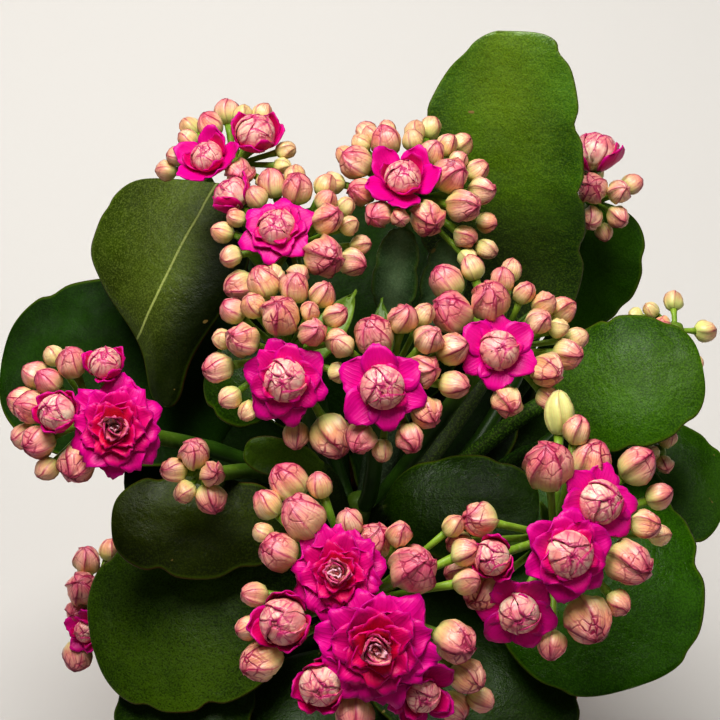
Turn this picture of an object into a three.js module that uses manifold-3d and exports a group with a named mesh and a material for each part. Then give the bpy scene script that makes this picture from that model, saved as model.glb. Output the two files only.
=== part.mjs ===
// A double-flowered kalanchoe in a plain clay pot. Millimetres, +Z up.
// The plant is laid out round the pot's axis, with the pot's foot on z = 0. The last lines of this
// file shift the whole group so that the middle of its outline, seen from above, is the origin.

import * as THREE from 'three';
import { mergeVertices } from 'three/addons/utils/BufferGeometryUtils.js';
import Module from 'manifold-3d';

const wasm = await Module();
wasm.setup();

// Driving dimensions

const clearance = 0.35; // left between any two neighbours

const pot = {
  rimRadius: 45, footRadius: 30, height: 78, bandHeight: 19, bandStep: 2.4,
  wall: 4.5, floor: 6, drainRadius: 5, edgeRound: 1.2, sides: 28,
};

const soil = { top: 71, lump: 1.3, lumpRings: 3, sides: 18 };

const stem = { bottom: 57, top: 118, bottomRadius: 3.6, topRadius: 2.8, sides: 8 };

// a stalk leaves the main stem outward, a little upward, and ends along its head's lean
const stalk = { radius: 1.65, sides: 4, steps: 3, outShare: 0.4, upShare: 0.12, endShare: 0.35 };

const ray = { rootRadius: 0.5, tipRadius: 0.7, sides: 3, hubRadius: 2.4 };

const bud = { smallDiameter: 4.5, mostSink: 5, settleRounds: 12 };

const blade = {
  stalkHalfWidth: 1.7, tipHalfWidth: 1.3, halfThickness: 1, edgeHalfThickness: 0.5, lobeDepth: 0.1,
};

const petalHalfThickness = 0.42;

// Flowers are laid out as they look from the front and above, where the eye sees the dome of heads as
// a round. A flower's first two numbers are its place from the middle of its head, across and up as
// the eye sees it, and the third is its diameter. A bloom's fourth is how far it is open, from 0 to 1,
// and its fifth, if it has one, how far it stands out over the bloom beside it.

const eyeElevation = THREE.MathUtils.degToRad(52);
const across = new THREE.Vector3(1, 0, 0);
const upward = new THREE.Vector3(0, Math.sin(eyeElevation), Math.cos(eyeElevation));
const toEye = new THREE.Vector3(0, -Math.cos(eyeElevation), Math.sin(eyeElevation));

// Each head is a shallow dome of flowers: at is its middle, lean the way it faces, spread its radius
// and rise how far it bulges. stalkFrom is the height at which its stalk leaves the main stem, and
// hidden the number of buds on the side that the eye can't see. A stalk bends by stalkBy, if it has one.

const heads = [
  {
    name: 'front_head', at: [0.3, -44.3, 148], lean: [0, -0.62, 0.79], spread: 24, rise: 12,
    stalkFrom: 100,
    blooms: [
      [-4.2, 5.8, 17, 1], [2.3, -6.5, 20.5, 1, 3], [-13, -2.5, 11, 0.35], [10.5, -15.6, 12, 0.45],
      [-6.8, -13.1, 10, 0.3],
    ],
    buds: [
      [8.6, 6.3, 8.2], [-10.2, 14.7, 7.4], [-12.6, 20.6, 6.5], [-7.2, 20.3, 4.4], [-16.1, 17, 5],
      [-1.6, 14.3, 4.6], [1.9, 11.9, 6.3], [6.3, 12.2, 4.4], [-14.2, 9.6, 6.5],
      [-16.5, 11.9, 3.6], [-18.2, 1.8, 4.4], [-19.2, -3.9, 4.4], [-16.3, -8, 7], [15.8, -6, 7.2],
      [18, -12.4, 6], [-1.4, -18.4, 6.4], [16.1, -18, 5.2], [20, -17, 4.5],
    ],
  },
  {
    name: 'front_right_head', at: [35.3, -31, 150], lean: [0.35, -0.5, 0.79], spread: 20, rise: 11,
    stalkFrom: 104,
    blooms: [
      [6.3, 6.1, 15.5, 0.6], [-0.4, -2.6, 16.5, 0.75, 3], [-8, -13.1, 14.5, 0.6],
      [-12.6, -3.2, 8.5, 0.25],
    ],
    buds: [
      [-2.8, 12.3, 8.2], [5.6, 14.9, 7.2], [2.6, 17.7, 4.8], [-0.4, 20, 5], [13, 12, 6.4],
      [17, 6.7, 4.6], [14.4, 1.9, 5], [16.6, 0.2, 3.8], [11, -4.4, 7.7], [4.4, -13.7, 8],
      [8.8, -11.7, 4.5], [-2.1, -18.6, 5], [-14.4, 1.9, 6], [-18.2, -0.9, 4.4], [-17.9, -6.1, 4.6],
      [-15.4, -9.6, 6.5],
    ],
  },
  {
    name: 'left_head', at: [-48.5, -4.7, 150], lean: [-0.4, -0.35, 0.85], spread: 13.5, rise: 9,
    stalkFrom: 103, stalkBy: [-20, 14, 121],
    blooms: [[5.3, -2.1, 18, 1], [-4.7, 0.4, 9, 0.3], [3.3, 8.8, 8, 0.25]],
    buds: [
      [-3, 9.3, 5.4], [-6.5, 10.5, 3.6], [-7, 6.1, 4.8], [-10.2, 1.4, 5.6], [-8.8, -4.7, 5.8],
      [-7.2, -9.6, 4.2], [-2.5, -9.1, 6.8],
    ],
  },
  {
    name: 'left_sprig', at: [-29.8, -6.9, 135], lean: [-0.5, -0.5, 0.7], spread: 5, rise: 4,
    stalkFrom: 98, stalkBy: [-18, 14, 116], blooms: [],
    buds: [[0, 3.5, 5.5], [-3.7, 0, 4.6], [2.8, -0.4, 4.6], [-2.3, -2.6, 4.2], [2.6, -3.6, 5.5]],
  },
  {
    name: 'middle_left_head', at: [-13.6, -1.7, 165], lean: [-0.2, -0.45, 0.87], spread: 14, rise: 9,
    stalkFrom: 112,
    blooms: [[0.5, -4.9, 15.5, 0.8]],
    buds: [
      [-0.2, 6.5, 7], [1.9, 11.2, 5.2], [5.1, 3.5, 4.8], [-5.1, 8, 4.4], [-7, 2.1, 5.8],
      [-3.3, 12.2, 5.6], [7, 10.1, 4.6], [2.4, -14.5, 4.7], [8.7, -14.5, 7.3],
    ],
  },
  {
    name: 'middle_head', at: [5.6, -7.9, 165], lean: [0.15, -0.5, 0.85], spread: 13, rise: 9,
    stalkFrom: 115,
    blooms: [[-1.7, -1.6, 15.6, 0.6]],
    buds: [
      [-3.5, 8, 7], [1.7, 10.2, 5.2], [5.4, 11, 4.2], [6.5, 6.5, 5], [6.4, 1.9, 5.6],
      [10.1, 5.2, 5.6], [6.4, -6.2, 5.4], [3, -10.3, 4.9], [-1.7, -12.6, 3.8], [-5.6, -10.4, 5.2],
    ],
  },
  {
    name: 'back_head', at: [8.9, 42.9, 158], lean: [0.05, 0.05, 1], spread: 15, rise: 8,
    stalkFrom: 108, hidden: 5,
    blooms: [[-1, 1.2, 13, 0.5]],
    buds: [
      [-8.7, 8.2, 3.8], [-4, 9.1, 5.6], [0.7, 9.1, 3.8], [-9.4, 5.2, 6], [-13.8, 1.2, 4.2],
      [-9.1, 0.2, 5], [-5.8, -4.4, 5], [-1.6, -5.6, 3.5], [7.7, 2.4, 6.6],
      [3.7, -5, 6.5], [10, -3.3, 6.1], [13.5, -0.4, 5], [14.5, -6.1, 3.8],
      [10.5, -8.8, 4.4],
    ],
  },
  {
    name: 'right_head', at: [25.4, 1.8, 162], lean: [0.3, -0.3, 0.9], spread: 14, rise: 9,
    stalkFrom: 110, stalkBy: [13, 11, 121], hidden: 2,
    blooms: [[-1, -0.9, 14, 0.6]],
    buds: [
      [-9.4, 11.4, 6], [-8.9, 5.8, 7], [-2.6, 7.9, 7], [-0.3, 11.2, 4.4], [6, 4.2, 4.6],
      [7.6, -4.4, 6], [11.4, -1.3, 5.3], [0.3, -9.9, 5.4], [7.7, -9.3, 4.2],
      [-5.8, 13.5, 4.4],
    ],
  },
  {
    name: 'back_left_head', at: [-12.8, 27.9, 160], lean: [-0.1, -0.1, 1], spread: 13, rise: 8,
    stalkFrom: 107, hidden: 3,
    blooms: [[-2.3, 2.1, 14, 0.7], [-10.1, 7.2, 7.5, 0.25]],
    buds: [
      [6.2, -3.5, 7.4], [6.8, 3.5, 5.6], [1.2, 9.2, 5.6], [10.8, 2.4, 3.6], [11.4, -4.2, 5],
      [12.8, -1.2, 3.8], [-10.7, -3.1, 4], [-12.2, 1.4, 4], [-9.1, -8.4, 5.4],
    ],
  },
  {
    name: 'far_left_head', at: [-24, 50.4, 158], lean: [-0.15, 0.1, 1], spread: 11.5, rise: 6,
    stalkFrom: 104, hidden: 4,
    blooms: [[-4.5, 0, 11, 0.5], [4.5, 3.1, 8.5, 0.25]],
    buds: [
      [-4, 6, 4.8], [-12.2, -2.3, 3.8], [9.6, 1.2, 3.6], [9.6, -1.4, 3.2],
      [6.8, -5, 4.2], [1.7, -2.2, 5.5],
    ],
  },
  {
    name: 'far_right_head', at: [46.7, 59.5, 136], lean: [0.4, 0.2, 0.9], spread: 7, rise: 6,
    stalkFrom: 96, stalkBy: [32, 23, 105], hidden: 2,
    blooms: [[-1.8, 6.3, 8, 0.3]],
    buds: [[-1.9, 0.9, 6], [3.2, 0.3, 4.6], [-2.1, -4.7, 4.5], [3.2, -4.4, 4.4], [0.7, -7.2, 3.4]],
  },
  {
    name: 'right_back_sprig', at: [61.2, 35.2, 125], lean: [0.6, 0.2, 0.77], spread: 7, rise: 3,
    stalkFrom: 92, hidden: 2, blooms: [],
    buds: [[-7, 3.7, 2.8], [-5.1, 2.6, 3.2], [-2.4, 2, 3.2], [0.8, 0, 3.4], [3.9, -2.4, 3.2]],
  },
  {
    name: 'right_sprig', at: [56.7, 9.2, 120], lean: [0.6, -0.3, 0.74], spread: 4, rise: 3,
    stalkFrom: 86, stalkBy: [27, 22, 96], blooms: [], buds: [[1.2, 2.6, 3.6], [-2.1, -0.2, 3.6], [0.7, -2.3, 3.4]],
  },
  {
    name: 'lower_left_head', at: [-53, -5.5, 91], lean: [-0.8, -0.2, 0.55], spread: 11, rise: 6,
    stalkFrom: 79,
    blooms: [[0.2, -4.9, 8, 0.3]],
    buds: [[4, 10.7, 3], [0.7, 8.2, 4.4], [0, 3.3, 5.4], [-2.3, -0.4, 3.8], [-1.5, -9, 5]],
  },
];

// Each leaf runs from root, on a stem, along its own stalk to base, and widens from there to tip. Face
// is the way that its upper face looks, arch how far its middle rises over the line from base to tip,
// cup how far its edges stand over its midrib, and lobes the scallops down each edge.

const leaves = [
  {
    name: 'tall_back_leaf', root: [2.6, 2.4, 101], base: [30, 40, 118], tip: [26, 70, 172.5],
    face: [-0.15, -0.8, 0.5], width: 30, arch: 3, cup: 1.5, lobes: 5, baseRound: 0.6, tipRound: 0.45,
  },
  {
    name: 'left_arching_leaf', root: [-2.6, 2.4, 90], base: [-34, 58, 143], tip: [-41, 24, 125],
    face: [-0.3, -0.5, 0.8], width: 35, arch: 4, cup: -1.5, lobes: 4, baseRound: 0.75,
  },
  {
    name: 'left_back_leaf', root: [-3, 2, 84], base: [-33, 28, 107], tip: [-71, 33, 110],
    face: [-0.1, -0.25, 0.95], width: 40, arch: 3, cup: 1, lobes: 4,
  },
  {
    name: 'right_leaf', root: [3, 1.5, 102], base: [34, 15, 127], tip: [66, 16, 136],
    face: [-0.1, -0.35, 0.93], width: 28, arch: 3, cup: -1, lobes: 4,
  },
  {
    name: 'front_right_leaf', root: [3.2, -0.5, 90], base: [32, 10, 115], tip: [53, -38.5, 104],
    face: [0.05, -0.4, 0.92], width: 42, arch: 4, cup: -1.5, lobes: 5,
  },
  {
    name: 'front_left_leaf', root: [-2, -2.6, 84], base: [-12, -13, 107], tip: [-50.5, -20.5, 100],
    face: [-0.1, -0.4, 0.9], width: 37, arch: 4, cup: -1.5, lobes: 4,
  },
  {
    name: 'left_front_leaf', root: [-2.9, -0.6, 98], base: [-13, -6, 119], tip: [-46, -8, 123],
    face: [-0.1, -0.35, 0.92], width: 21, arch: 2, cup: -1, lobes: 3,
  },
  {
    name: 'far_right_leaf', root: [3.3, 0.5, 78], base: [44, 15, 104], tip: [70.5, 9, 105],
    face: [0.15, -0.25, 0.95], width: 27, arch: 3, cup: -1, lobes: 4,
  },
  {
    name: 'right_back_leaf', root: [2.2, 2.8, 86], base: [40, 49, 108], tip: [51, 63, 130],
    face: [0, -0.7, 0.7], width: 24, arch: 2, cup: 1, lobes: 3,
  },
  {
    name: 'lower_centre_leaf', root: [2.4, -1.6, 106], base: [5, -3, 119], tip: [33, -8, 125],
    face: [0, -0.3, 0.95], width: 21, arch: 2, cup: -1, lobes: 3,
  },
  {
    name: 'small_middle_leaf', root: [-2.5, -2, 112], base: [-7.5, -8, 138], tip: [-21, -6.5, 142],
    face: [-0.1, -0.5, 0.86], width: 7.5, arch: 1, cup: 0.8, lobes: 2,
  },
  {
    name: 'inner_left_leaf', root: [-3.1, 0.9, 106], base: [-15, 13, 126], tip: [-31, 19, 127],
    face: [-0.1, -0.4, 0.9], width: 19, arch: 2, cup: -1, lobes: 3,
  },
  {
    name: 'young_leaf_left', root: [0.8, 2.8, 112], base: [7, 25, 136], tip: [8, 34, 156],
    face: [-0.2, -0.85, 0.5], width: 8.5, arch: 1.5, cup: 1.5, lobes: 2,
  },
  {
    name: 'young_leaf_right', root: [2.2, 1.9, 111], base: [18, 27, 136], tip: [18, 33, 152],
    face: [0.25, -0.85, 0.5], width: 8, arch: 1.5, cup: 1.2, lobes: 2,
  },
  {
    name: 'centre_back_leaf', root: [0.8, 3.2, 80], base: [6, 17, 88], tip: [26, 62, 101],
    face: [0, -0.3, 0.95], width: 35, arch: 3, cup: 1, lobes: 4,
  },
  {
    name: 'bottom_left_leaf', root: [-2.6, -2.6, 76], base: [-22, -22, 94], tip: [-43, -38, 88],
    face: [-0.2, -0.3, 0.93], width: 26, arch: 3, cup: -1, lobes: 4,
  },
  {
    name: 'left_leaf', root: [-3.4, 0.6, 92], base: [-15, 13, 103], tip: [-47, 9, 99],
    face: [-0.15, -0.2, 0.96], width: 26, arch: 2, cup: -1, lobes: 4,
  },
  {
    name: 'front_centre_leaf', root: [1.7, -3, 86], base: [9, -6, 98], tip: [29, -45, 93],
    face: [0, -0.25, 0.97], width: 34, arch: 3, cup: -1, lobes: 4,
  },
  {
    name: 'bottom_front_leaf', root: [-0.6, -3.5, 76], base: [-4, -16, 90], tip: [-14, -54, 84],
    face: [-0.1, -0.25, 0.97], width: 30, arch: 3, cup: -1, lobes: 4,
  },
  {
    name: 'bottom_back_leaf', root: [-0.8, 3.4, 82], base: [-3, 29, 96], tip: [4, 74, 110],
    face: [0, -0.2, 0.97], width: 33, arch: 3, cup: -1, lobes: 4,
  },
  {
    name: 'bottom_right_leaf', root: [2.8, 2.1, 72], base: [11, 15, 84], tip: [52, 42, 85],
    face: [0.1, -0.05, 0.99], width: 35, arch: 3, cup: -1, lobes: 4,
  },
];

const colours = {
  clay: 0xb5613d, soil: 0x2e2018, stem: 0x6f9a35, head: 0xd98a7c, bloom: 0xd4007f, leaf: 0x2c5218,
};

// Solids

function vector([x, y, z]) {
  return new THREE.Vector3(x, y, z);
}

// The closed solid of a geometry whose faces may point in or out.
function solidOf(geometry) {
  const plain = new THREE.BufferGeometry();
  plain.setAttribute('position', geometry.getAttribute('position').clone());
  if (geometry.index) plain.setIndex(geometry.index.clone());
  const merged = mergeVertices(plain, 1e-4);
  const corners = [];
  const index = merged.index.array;
  for (let i = 0; i < index.length; i += 3) {
    const [a, b, c] = [index[i], index[i + 1], index[i + 2]];
    if (a !== b && b !== c && c !== a) corners.push(a, b, c);
  }
  const positions = merged.getAttribute('position').array;
  const build = (triangles) => new wasm.Manifold(new wasm.Mesh({
    numProp: 3, vertProperties: Float32Array.from(positions), triVerts: Uint32Array.from(triangles),
  }));
  const solid = build(corners);
  if (solid.volume() > 0) return solid;
  const turned = corners.map((corner, i) => corners[i % 3 === 0 ? i : i % 3 === 1 ? i + 1 : i - 1]);
  return build(turned);
}

function fuse(solids) {
  return solids.reduce((whole, solid) => whole.add(solid));
}

function largestBody(solid) {
  const bodies = solid.decompose();
  return bodies.reduce((best, body) => (body.volume() > best.volume() ? body : best));
}

// Turns a geometry made along +Y so that it stands on a point and points along an axis.
function stand(geometry, point, axis, spin = 0) {
  geometry.rotateY(spin);
  const turn = new THREE.Quaternion().setFromUnitVectors(new THREE.Vector3(0, 1, 0), axis);
  geometry.applyQuaternion(turn);
  geometry.translate(point.x, point.y, point.z);
  return geometry;
}

function latheUp(profile, sides) {
  const points = profile.map(([radius, height]) => new THREE.Vector2(radius, height));
  return new THREE.LatheGeometry(points, sides);
}

// A round shape along +Y, from pole to pole through rings of a height, a radius and a number of sides.
// A ring's fourth number, if it has one, lowers every second corner.
function ringedGeometry(bottom, rings, top) {
  const corners = [0, bottom, 0];
  const starts = rings.map(([height, radius, sides, scallop = 0]) => {
    const start = corners.length / 3;
    for (let i = 0; i < sides; i += 1) {
      const angle = (2 * Math.PI * i) / sides;
      corners.push(radius * Math.cos(angle), height - (i % 2) * scallop, -radius * Math.sin(angle));
    }
    return start;
  });
  const last = corners.length / 3;
  corners.push(0, top, 0);
  const corner = (ring, i) => starts[ring] + (i % rings[ring][2]);
  const faces = [];
  for (let i = 0; i < rings[0][2]; i += 1) faces.push(0, corner(0, i + 1), corner(0, i));
  for (let ring = 0; ring < rings.length - 1; ring += 1) {
    const [below, above] = [rings[ring][2], rings[ring + 1][2]];
    let [i, j] = [0, 0];
    while (i < below || j < above) {
      const stepBelow = j >= above || (i < below && (i + 1) / below <= (j + 1) / above);
      const next = stepBelow ? corner(ring, i + 1) : corner(ring + 1, j + 1);
      faces.push(corner(ring, i), next, corner(ring + 1, j));
      if (stepBelow) i += 1;
      else j += 1;
    }
  }
  const end = rings.length - 1;
  for (let i = 0; i < rings[end][2]; i += 1) faces.push(last, corner(end, i), corner(end, i + 1));
  const geometry = new THREE.BufferGeometry();
  geometry.setAttribute('position', new THREE.Float32BufferAttribute(corners, 3));
  geometry.setIndex(faces);
  return geometry;
}

function cone(from, to, fromRadius, toRadius, sides) {
  const along = to.clone().sub(from);
  const length = along.length();
  const geometry = new THREE.CylinderGeometry(toRadius, fromRadius, length, sides);
  geometry.translate(0, length / 2, 0);
  return solidOf(stand(geometry, from, along.normalize()));
}

function tube(curve, radius, sides, steps) {
  const section = new THREE.Shape();
  for (let i = 0; i < sides; i += 1) {
    const angle = (2 * Math.PI * i) / sides;
    const [x, y] = [radius * Math.cos(angle), radius * Math.sin(angle)];
    if (i === 0) section.moveTo(x, y);
    else section.lineTo(x, y);
  }
  section.closePath();
  return solidOf(new THREE.ExtrudeGeometry(section, { extrudePath: curve, steps, bevelEnabled: false }));
}

// A closed blade. Each row has its middle, its side and upper directions, its half width, its half
// thickness in the middle and at the edges, and its cup. Both faces are split into triangles alike.
function bladeGeometry(rows, columns) {
  const corners = [];
  for (const side of [1, -1]) {
    for (const row of rows) {
      for (const v of columns) {
        const half = THREE.MathUtils.lerp(row.thick, row.edge, v * v);
        const point = row.at.clone()
          .addScaledVector(row.side, v * row.half)
          .addScaledVector(row.up, row.cup * v * v + side * half);
        corners.push(point.x, point.y, point.z);
      }
    }
  }
  const wide = columns.length;
  const lower = rows.length * wide;
  const faces = [];
  const quad = (a, b, c, d) => faces.push(a, b, c, a, c, d);
  for (let i = 0; i < rows.length - 1; i += 1) {
    for (let j = 0; j < wide - 1; j += 1) {
      const [a, b] = [i * wide + j, (i + 1) * wide + j];
      quad(a, b, b + 1, a + 1);
      faces.push(lower + a, lower + b + 1, lower + b, lower + a, lower + a + 1, lower + b + 1);
    }
    for (const j of [0, wide - 1]) {
      const [a, b] = [i * wide + j, (i + 1) * wide + j];
      if (j === 0) quad(a, lower + a, lower + b, b);
      else quad(a, b, lower + b, lower + a);
    }
  }
  const last = (rows.length - 1) * wide;
  for (let j = 0; j < wide - 1; j += 1) {
    quad(j, j + 1, lower + j + 1, lower + j);
    quad(last + j, lower + last + j, lower + last + j + 1, last + j + 1);
  }
  const geometry = new THREE.BufferGeometry();
  geometry.setAttribute('position', new THREE.Float32BufferAttribute(corners, 3));
  geometry.setIndex(faces);
  return geometry;
}

// Pot and soil

function potWallRadius(height) {
  return THREE.MathUtils.lerp(pot.footRadius, pot.rimRadius - pot.bandStep, height / pot.height);
}

function makePot() {
  const bandBottom = pot.height - pot.bandHeight;
  const rimInner = pot.rimRadius - pot.bandStep - pot.wall;
  const floorInner = potWallRadius(pot.floor) - pot.wall;
  const bandRadius = pot.rimRadius - 1;
  const profile = [
    [pot.drainRadius, 0], [pot.footRadius, 0], [potWallRadius(bandBottom), bandBottom],
    [bandRadius, bandBottom], [pot.rimRadius, pot.height - pot.edgeRound],
    [pot.rimRadius - pot.edgeRound, pot.height], [rimInner + pot.edgeRound, pot.height],
    [rimInner, pot.height - pot.edgeRound], [floorInner, pot.floor], [pot.drainRadius, pot.floor],
    [pot.drainRadius, 0],
  ];
  return solidOf(latheUp(profile, pot.sides).rotateX(Math.PI / 2));
}

function potInnerRadius(height) {
  const rimInner = pot.rimRadius - pot.bandStep - pot.wall;
  const floorInner = potWallRadius(pot.floor) - pot.wall;
  return THREE.MathUtils.mapLinear(height, pot.floor, pot.height - pot.edgeRound, floorInner, rimInner);
}

// The soil's top is lumpy by a formula, and the main stem stands in its plain hole.
function makeSoil() {
  const bottom = pot.floor + clearance;
  const hole = stem.bottomRadius + clearance;
  const holeBottom = stem.bottom - clearance;
  // the pot's inner wall is flat between its edges, so the soil keeps inside those flats
  const flat = Math.cos(Math.PI / pot.sides);
  const edge = potInnerRadius(soil.top) * flat - clearance - 0.2;
  const profile = [[0, bottom], [potInnerRadius(bottom) * flat - clearance - 0.2, bottom], [edge, soil.top]];
  for (let i = soil.lumpRings; i >= 1; i -= 1) {
    profile.push([THREE.MathUtils.lerp(hole, edge, i / (soil.lumpRings + 1)), soil.top]);
  }
  profile.push([hole, soil.top], [hole, holeBottom], [0, holeBottom]);
  const geometry = latheUp(profile, soil.sides).rotateX(Math.PI / 2);
  const place = geometry.getAttribute('position');
  for (let i = 0; i < place.count; i += 1) {
    const [x, y, z] = [place.getX(i), place.getY(i), place.getZ(i)];
    const radius = Math.hypot(x, y);
    const onTop = Math.abs(z - soil.top) < 0.01 && radius > hole + 1 && radius < edge - 1;
    if (onTop) place.setZ(i, z + soil.lump * Math.sin(0.61 * x + 1.3) * Math.sin(0.53 * y + 0.4));
  }
  return solidOf(geometry);
}

// Heads

const hubOf = (head) => vector(head.at).addScaledVector(vector(head.lean).normalize(), -0.35 * head.rise);

// A flower's middle and axis. It lies on the head's dome where the eye sees it, or at the dome's edge.
function flowerPlace(head, [right, up]) {
  const lean = vector(head.lean).normalize();
  const flat = across.clone().multiplyScalar(right).addScaledVector(upward, up);
  const squash = 1 / head.rise ** 2 - 1 / head.spread ** 2;
  const [flatLean, eyeLean] = [flat.dot(lean), toEye.dot(lean)];
  const a = squash * eyeLean ** 2 + 1 / head.spread ** 2;
  const b = 2 * squash * flatLean * eyeLean;
  const c = squash * flatLean ** 2 + flat.lengthSq() / head.spread ** 2 - 1;
  const depth = (-b + Math.sqrt(Math.max(b * b - 4 * a * c, 0))) / (2 * a);
  const offset = flat.addScaledVector(toEye, depth);
  const outward = lean.clone().multiplyScalar(squash * offset.dot(lean))
    .addScaledVector(offset, 1 / head.spread ** 2).normalize();
  return { middle: vector(head.at).add(offset), axis: outward.lerp(lean, 0.25).normalize() };
}

// Buds for the side of a head that the eye can't see, on a golden-angle spiral, smaller at its edge.
function hiddenBuds(head) {
  const lean = vector(head.lean).normalize();
  const sideways = new THREE.Vector3().crossVectors(toEye, lean).normalize();
  const away = new THREE.Vector3().crossVectors(sideways, lean).normalize();
  if (away.dot(toEye) > 0) away.negate();
  const goldenAngle = Math.PI * (3 - Math.sqrt(5));
  const buds = [];
  for (let i = 0; buds.length < (head.hidden ?? 0); i += 1) {
    const angle = i * goldenAngle;
    if (Math.sin(angle) < 0.15) continue;
    const reach = 0.62 + 0.36 * ((i * 0.618) % 1);
    const lift = Math.sqrt(1 - reach ** 2);
    const offset = sideways.clone().multiplyScalar(Math.cos(angle) * reach * head.spread)
      .addScaledVector(away, Math.sin(angle) * reach * head.spread)
      .addScaledVector(lean, lift * head.rise);
    const axis = offset.clone().normalize().lerp(lean, 0.3).normalize();
    buds.push({ middle: vector(head.at).add(offset), axis, radius: 2.9 - reach });
  }
  return buds;
}

// Rings of a bud, in shares of its radius: how wide and how far from its foot
const budRings = [[1, 0.85], [0.72, 1.7]];

// Moves a bud that would touch an open bloom down from its petals, or aside from a cupped one.
function clearOfBlooms(head, { middle, axis, radius }) {
  for (const bloom of head.blooms) {
    const [, , diameter, open] = bloom;
    const foot = bloomFoot(head, bloom);
    const bloomAxis = flowerPlace(head, bloom).axis;
    const bloomRadius = diameter / 2;
    if (open < tightBloom) {
      const centre = foot.addScaledVector(bloomAxis, 0.65 * bloomRadius);
      const away = middle.clone().sub(centre);
      const short = 0.95 * bloomRadius + radius - away.length();
      if (short > 0) middle.addScaledVector(away.normalize(), Math.min(short, 0.5 * bud.mostSink));
      continue;
    }
    const offset = middle.clone().sub(foot);
    const height = offset.dot(bloomAxis);
    const reach = offset.addScaledVector(bloomAxis, -height).length();
    if (reach > bloomRadius + 0.6 * radius) continue;
    const under = 0.12 * bloomRadius + Math.max(reach - 0.4 * bloomRadius, 0) * 0.2;
    const sink = height + radius - under;
    if (sink > 0) middle.addScaledVector(axis, -Math.min(sink, bud.mostSink));
  }
}

// The buds of a head, settled so that they press against each other without running into each other.
function settledBuds(head) {
  const buds = head.buds.map((flower) => ({ ...flowerPlace(head, flower), radius: flower[2] / 2 }));
  buds.push(...hiddenBuds(head));
  buds.forEach((one) => clearOfBlooms(head, one));
  for (let round = 0; round < bud.settleRounds; round += 1) {
    for (let i = 0; i < buds.length; i += 1) {
      for (let j = i + 1; j < buds.length; j += 1) {
        const apart = buds[j].middle.clone().sub(buds[i].middle);
        const short = buds[i].radius + buds[j].radius - apart.length();
        if (short > 0) {
          apart.setLength(short / 2);
          buds[i].middle.sub(apart);
          buds[j].middle.add(apart);
        }
      }
    }
  }
  return buds;
}

// A bud and the ray that carries it are one round shape from the hub outward.
function makeHead(head, grow) {
  const hub = hubOf(head);
  const hubSize = ray.hubRadius + grow;
  const hubRings = [-0.4, 0.4].map((height) => [height * hubSize, 0.9 * hubSize, 5]);
  const hubGeometry = ringedGeometry(-hubSize, hubRings, hubSize);
  const solids = [solidOf(stand(hubGeometry, hub, vector(head.lean).normalize()))];
  for (const { middle, radius } of settledBuds(head)) {
    const along = middle.clone().sub(hub);
    const foot = along.length() - 1.05 * radius;
    const size = radius + grow;
    const sides = radius < bud.smallDiameter / 2 ? 4 : 5;
    const rings = [[0, ray.rootRadius + grow, ray.sides], [foot - grow, ray.tipRadius + grow, ray.sides]];
    for (const [r, h] of budRings) rings.push([foot - grow + h * size, r * size, sides]);
    const top = foot - grow + 2.1 * size;
    solids.push(solidOf(stand(ringedGeometry(0, rings, top), hub, along.normalize())));
  }
  for (const bloom of head.blooms) {
    solids.push(cone(hub, bloomFoot(head, bloom), ray.rootRadius + grow, ray.tipRadius + grow, ray.sides));
  }
  return fuse(solids);
}

// Blooms

const tightBloom = 0.45; // less open than this, a bloom is a cup of petals round its ball

function bloomFoot(head, bloom) {
  const [, , diameter, , standOut = 0] = bloom;
  const { middle, axis } = flowerPlace(head, bloom);
  return middle.addScaledVector(axis, standOut - 0.22 * diameter);
}

// A ring of petals in a bloom that opens along +Y: one bowl whose edge is cut in between the petals.
// Each outline point is a share of the way from one notch to the next, and of the tip's radius.
const petalOutline = [[0, 0.62], [0.22, 0.93], [0.5, 1], [0.78, 0.93]];

function petalRingGeometry({ petals, tip, lift, slope, turn, radius, grow }) {
  const sides = petals * petalOutline.length;
  const corners = [];
  const addPoint = (share, angle, side) => {
    // the bowl is steep near its middle and flatter towards the petals' tips
    const [r, h] = [share * tip * radius, (lift + slope * Math.sqrt(share) * tip) * radius];
    const lean = Math.atan(0.7 * slope);
    const thick = side * (petalHalfThickness + grow);
    const out = r - thick * Math.sin(lean) * share;
    corners.push(out * Math.cos(angle), h + thick * Math.cos(lean), -out * Math.sin(angle));
  };
  for (const side of [1, -1]) {
    addPoint(0, 0, side);
    for (let i = 0; i < petals; i += 1) addPoint(0.45, turn + (2 * Math.PI * i) / petals, side);
    for (let i = 0; i < sides; i += 1) {
      const [share, reach] = petalOutline[i % petalOutline.length];
      const angle = turn + (2 * Math.PI * (Math.floor(i / petalOutline.length) + share)) / petals;
      addPoint(reach + grow / (tip * radius), angle, side);
    }
  }
  const layer = 1 + petals + sides;
  const faces = [];
  for (const [first, order] of [[0, 1], [layer, -1]]) {
    const face = (a, b, c) => faces.push(first + a, first + (order > 0 ? b : c), first + (order > 0 ? c : b));
    const edge = (i) => 1 + petals + (i % sides);
    for (let i = 0; i < petals; i += 1) {
      const [here, next] = [1 + i, 1 + ((i + 1) % petals)];
      face(0, here, next);
      const start = i * petalOutline.length;
      face(here, edge(start), edge(start + 1));
      face(here, edge(start + 1), edge(start + 2));
      face(here, edge(start + 2), next);
      face(next, edge(start + 2), edge(start + 3));
      face(next, edge(start + 3), edge(start + 4));
    }
  }
  for (let i = 0; i < sides; i += 1) {
    const [a, b] = [1 + petals + i, 1 + petals + ((i + 1) % sides)];
    faces.push(a, layer + a, layer + b, a, layer + b, b);
  }
  const geometry = new THREE.BufferGeometry();
  geometry.setAttribute('position', new THREE.Float32BufferAttribute(corners, 3));
  geometry.setIndex(faces);
  return geometry;
}

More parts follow.
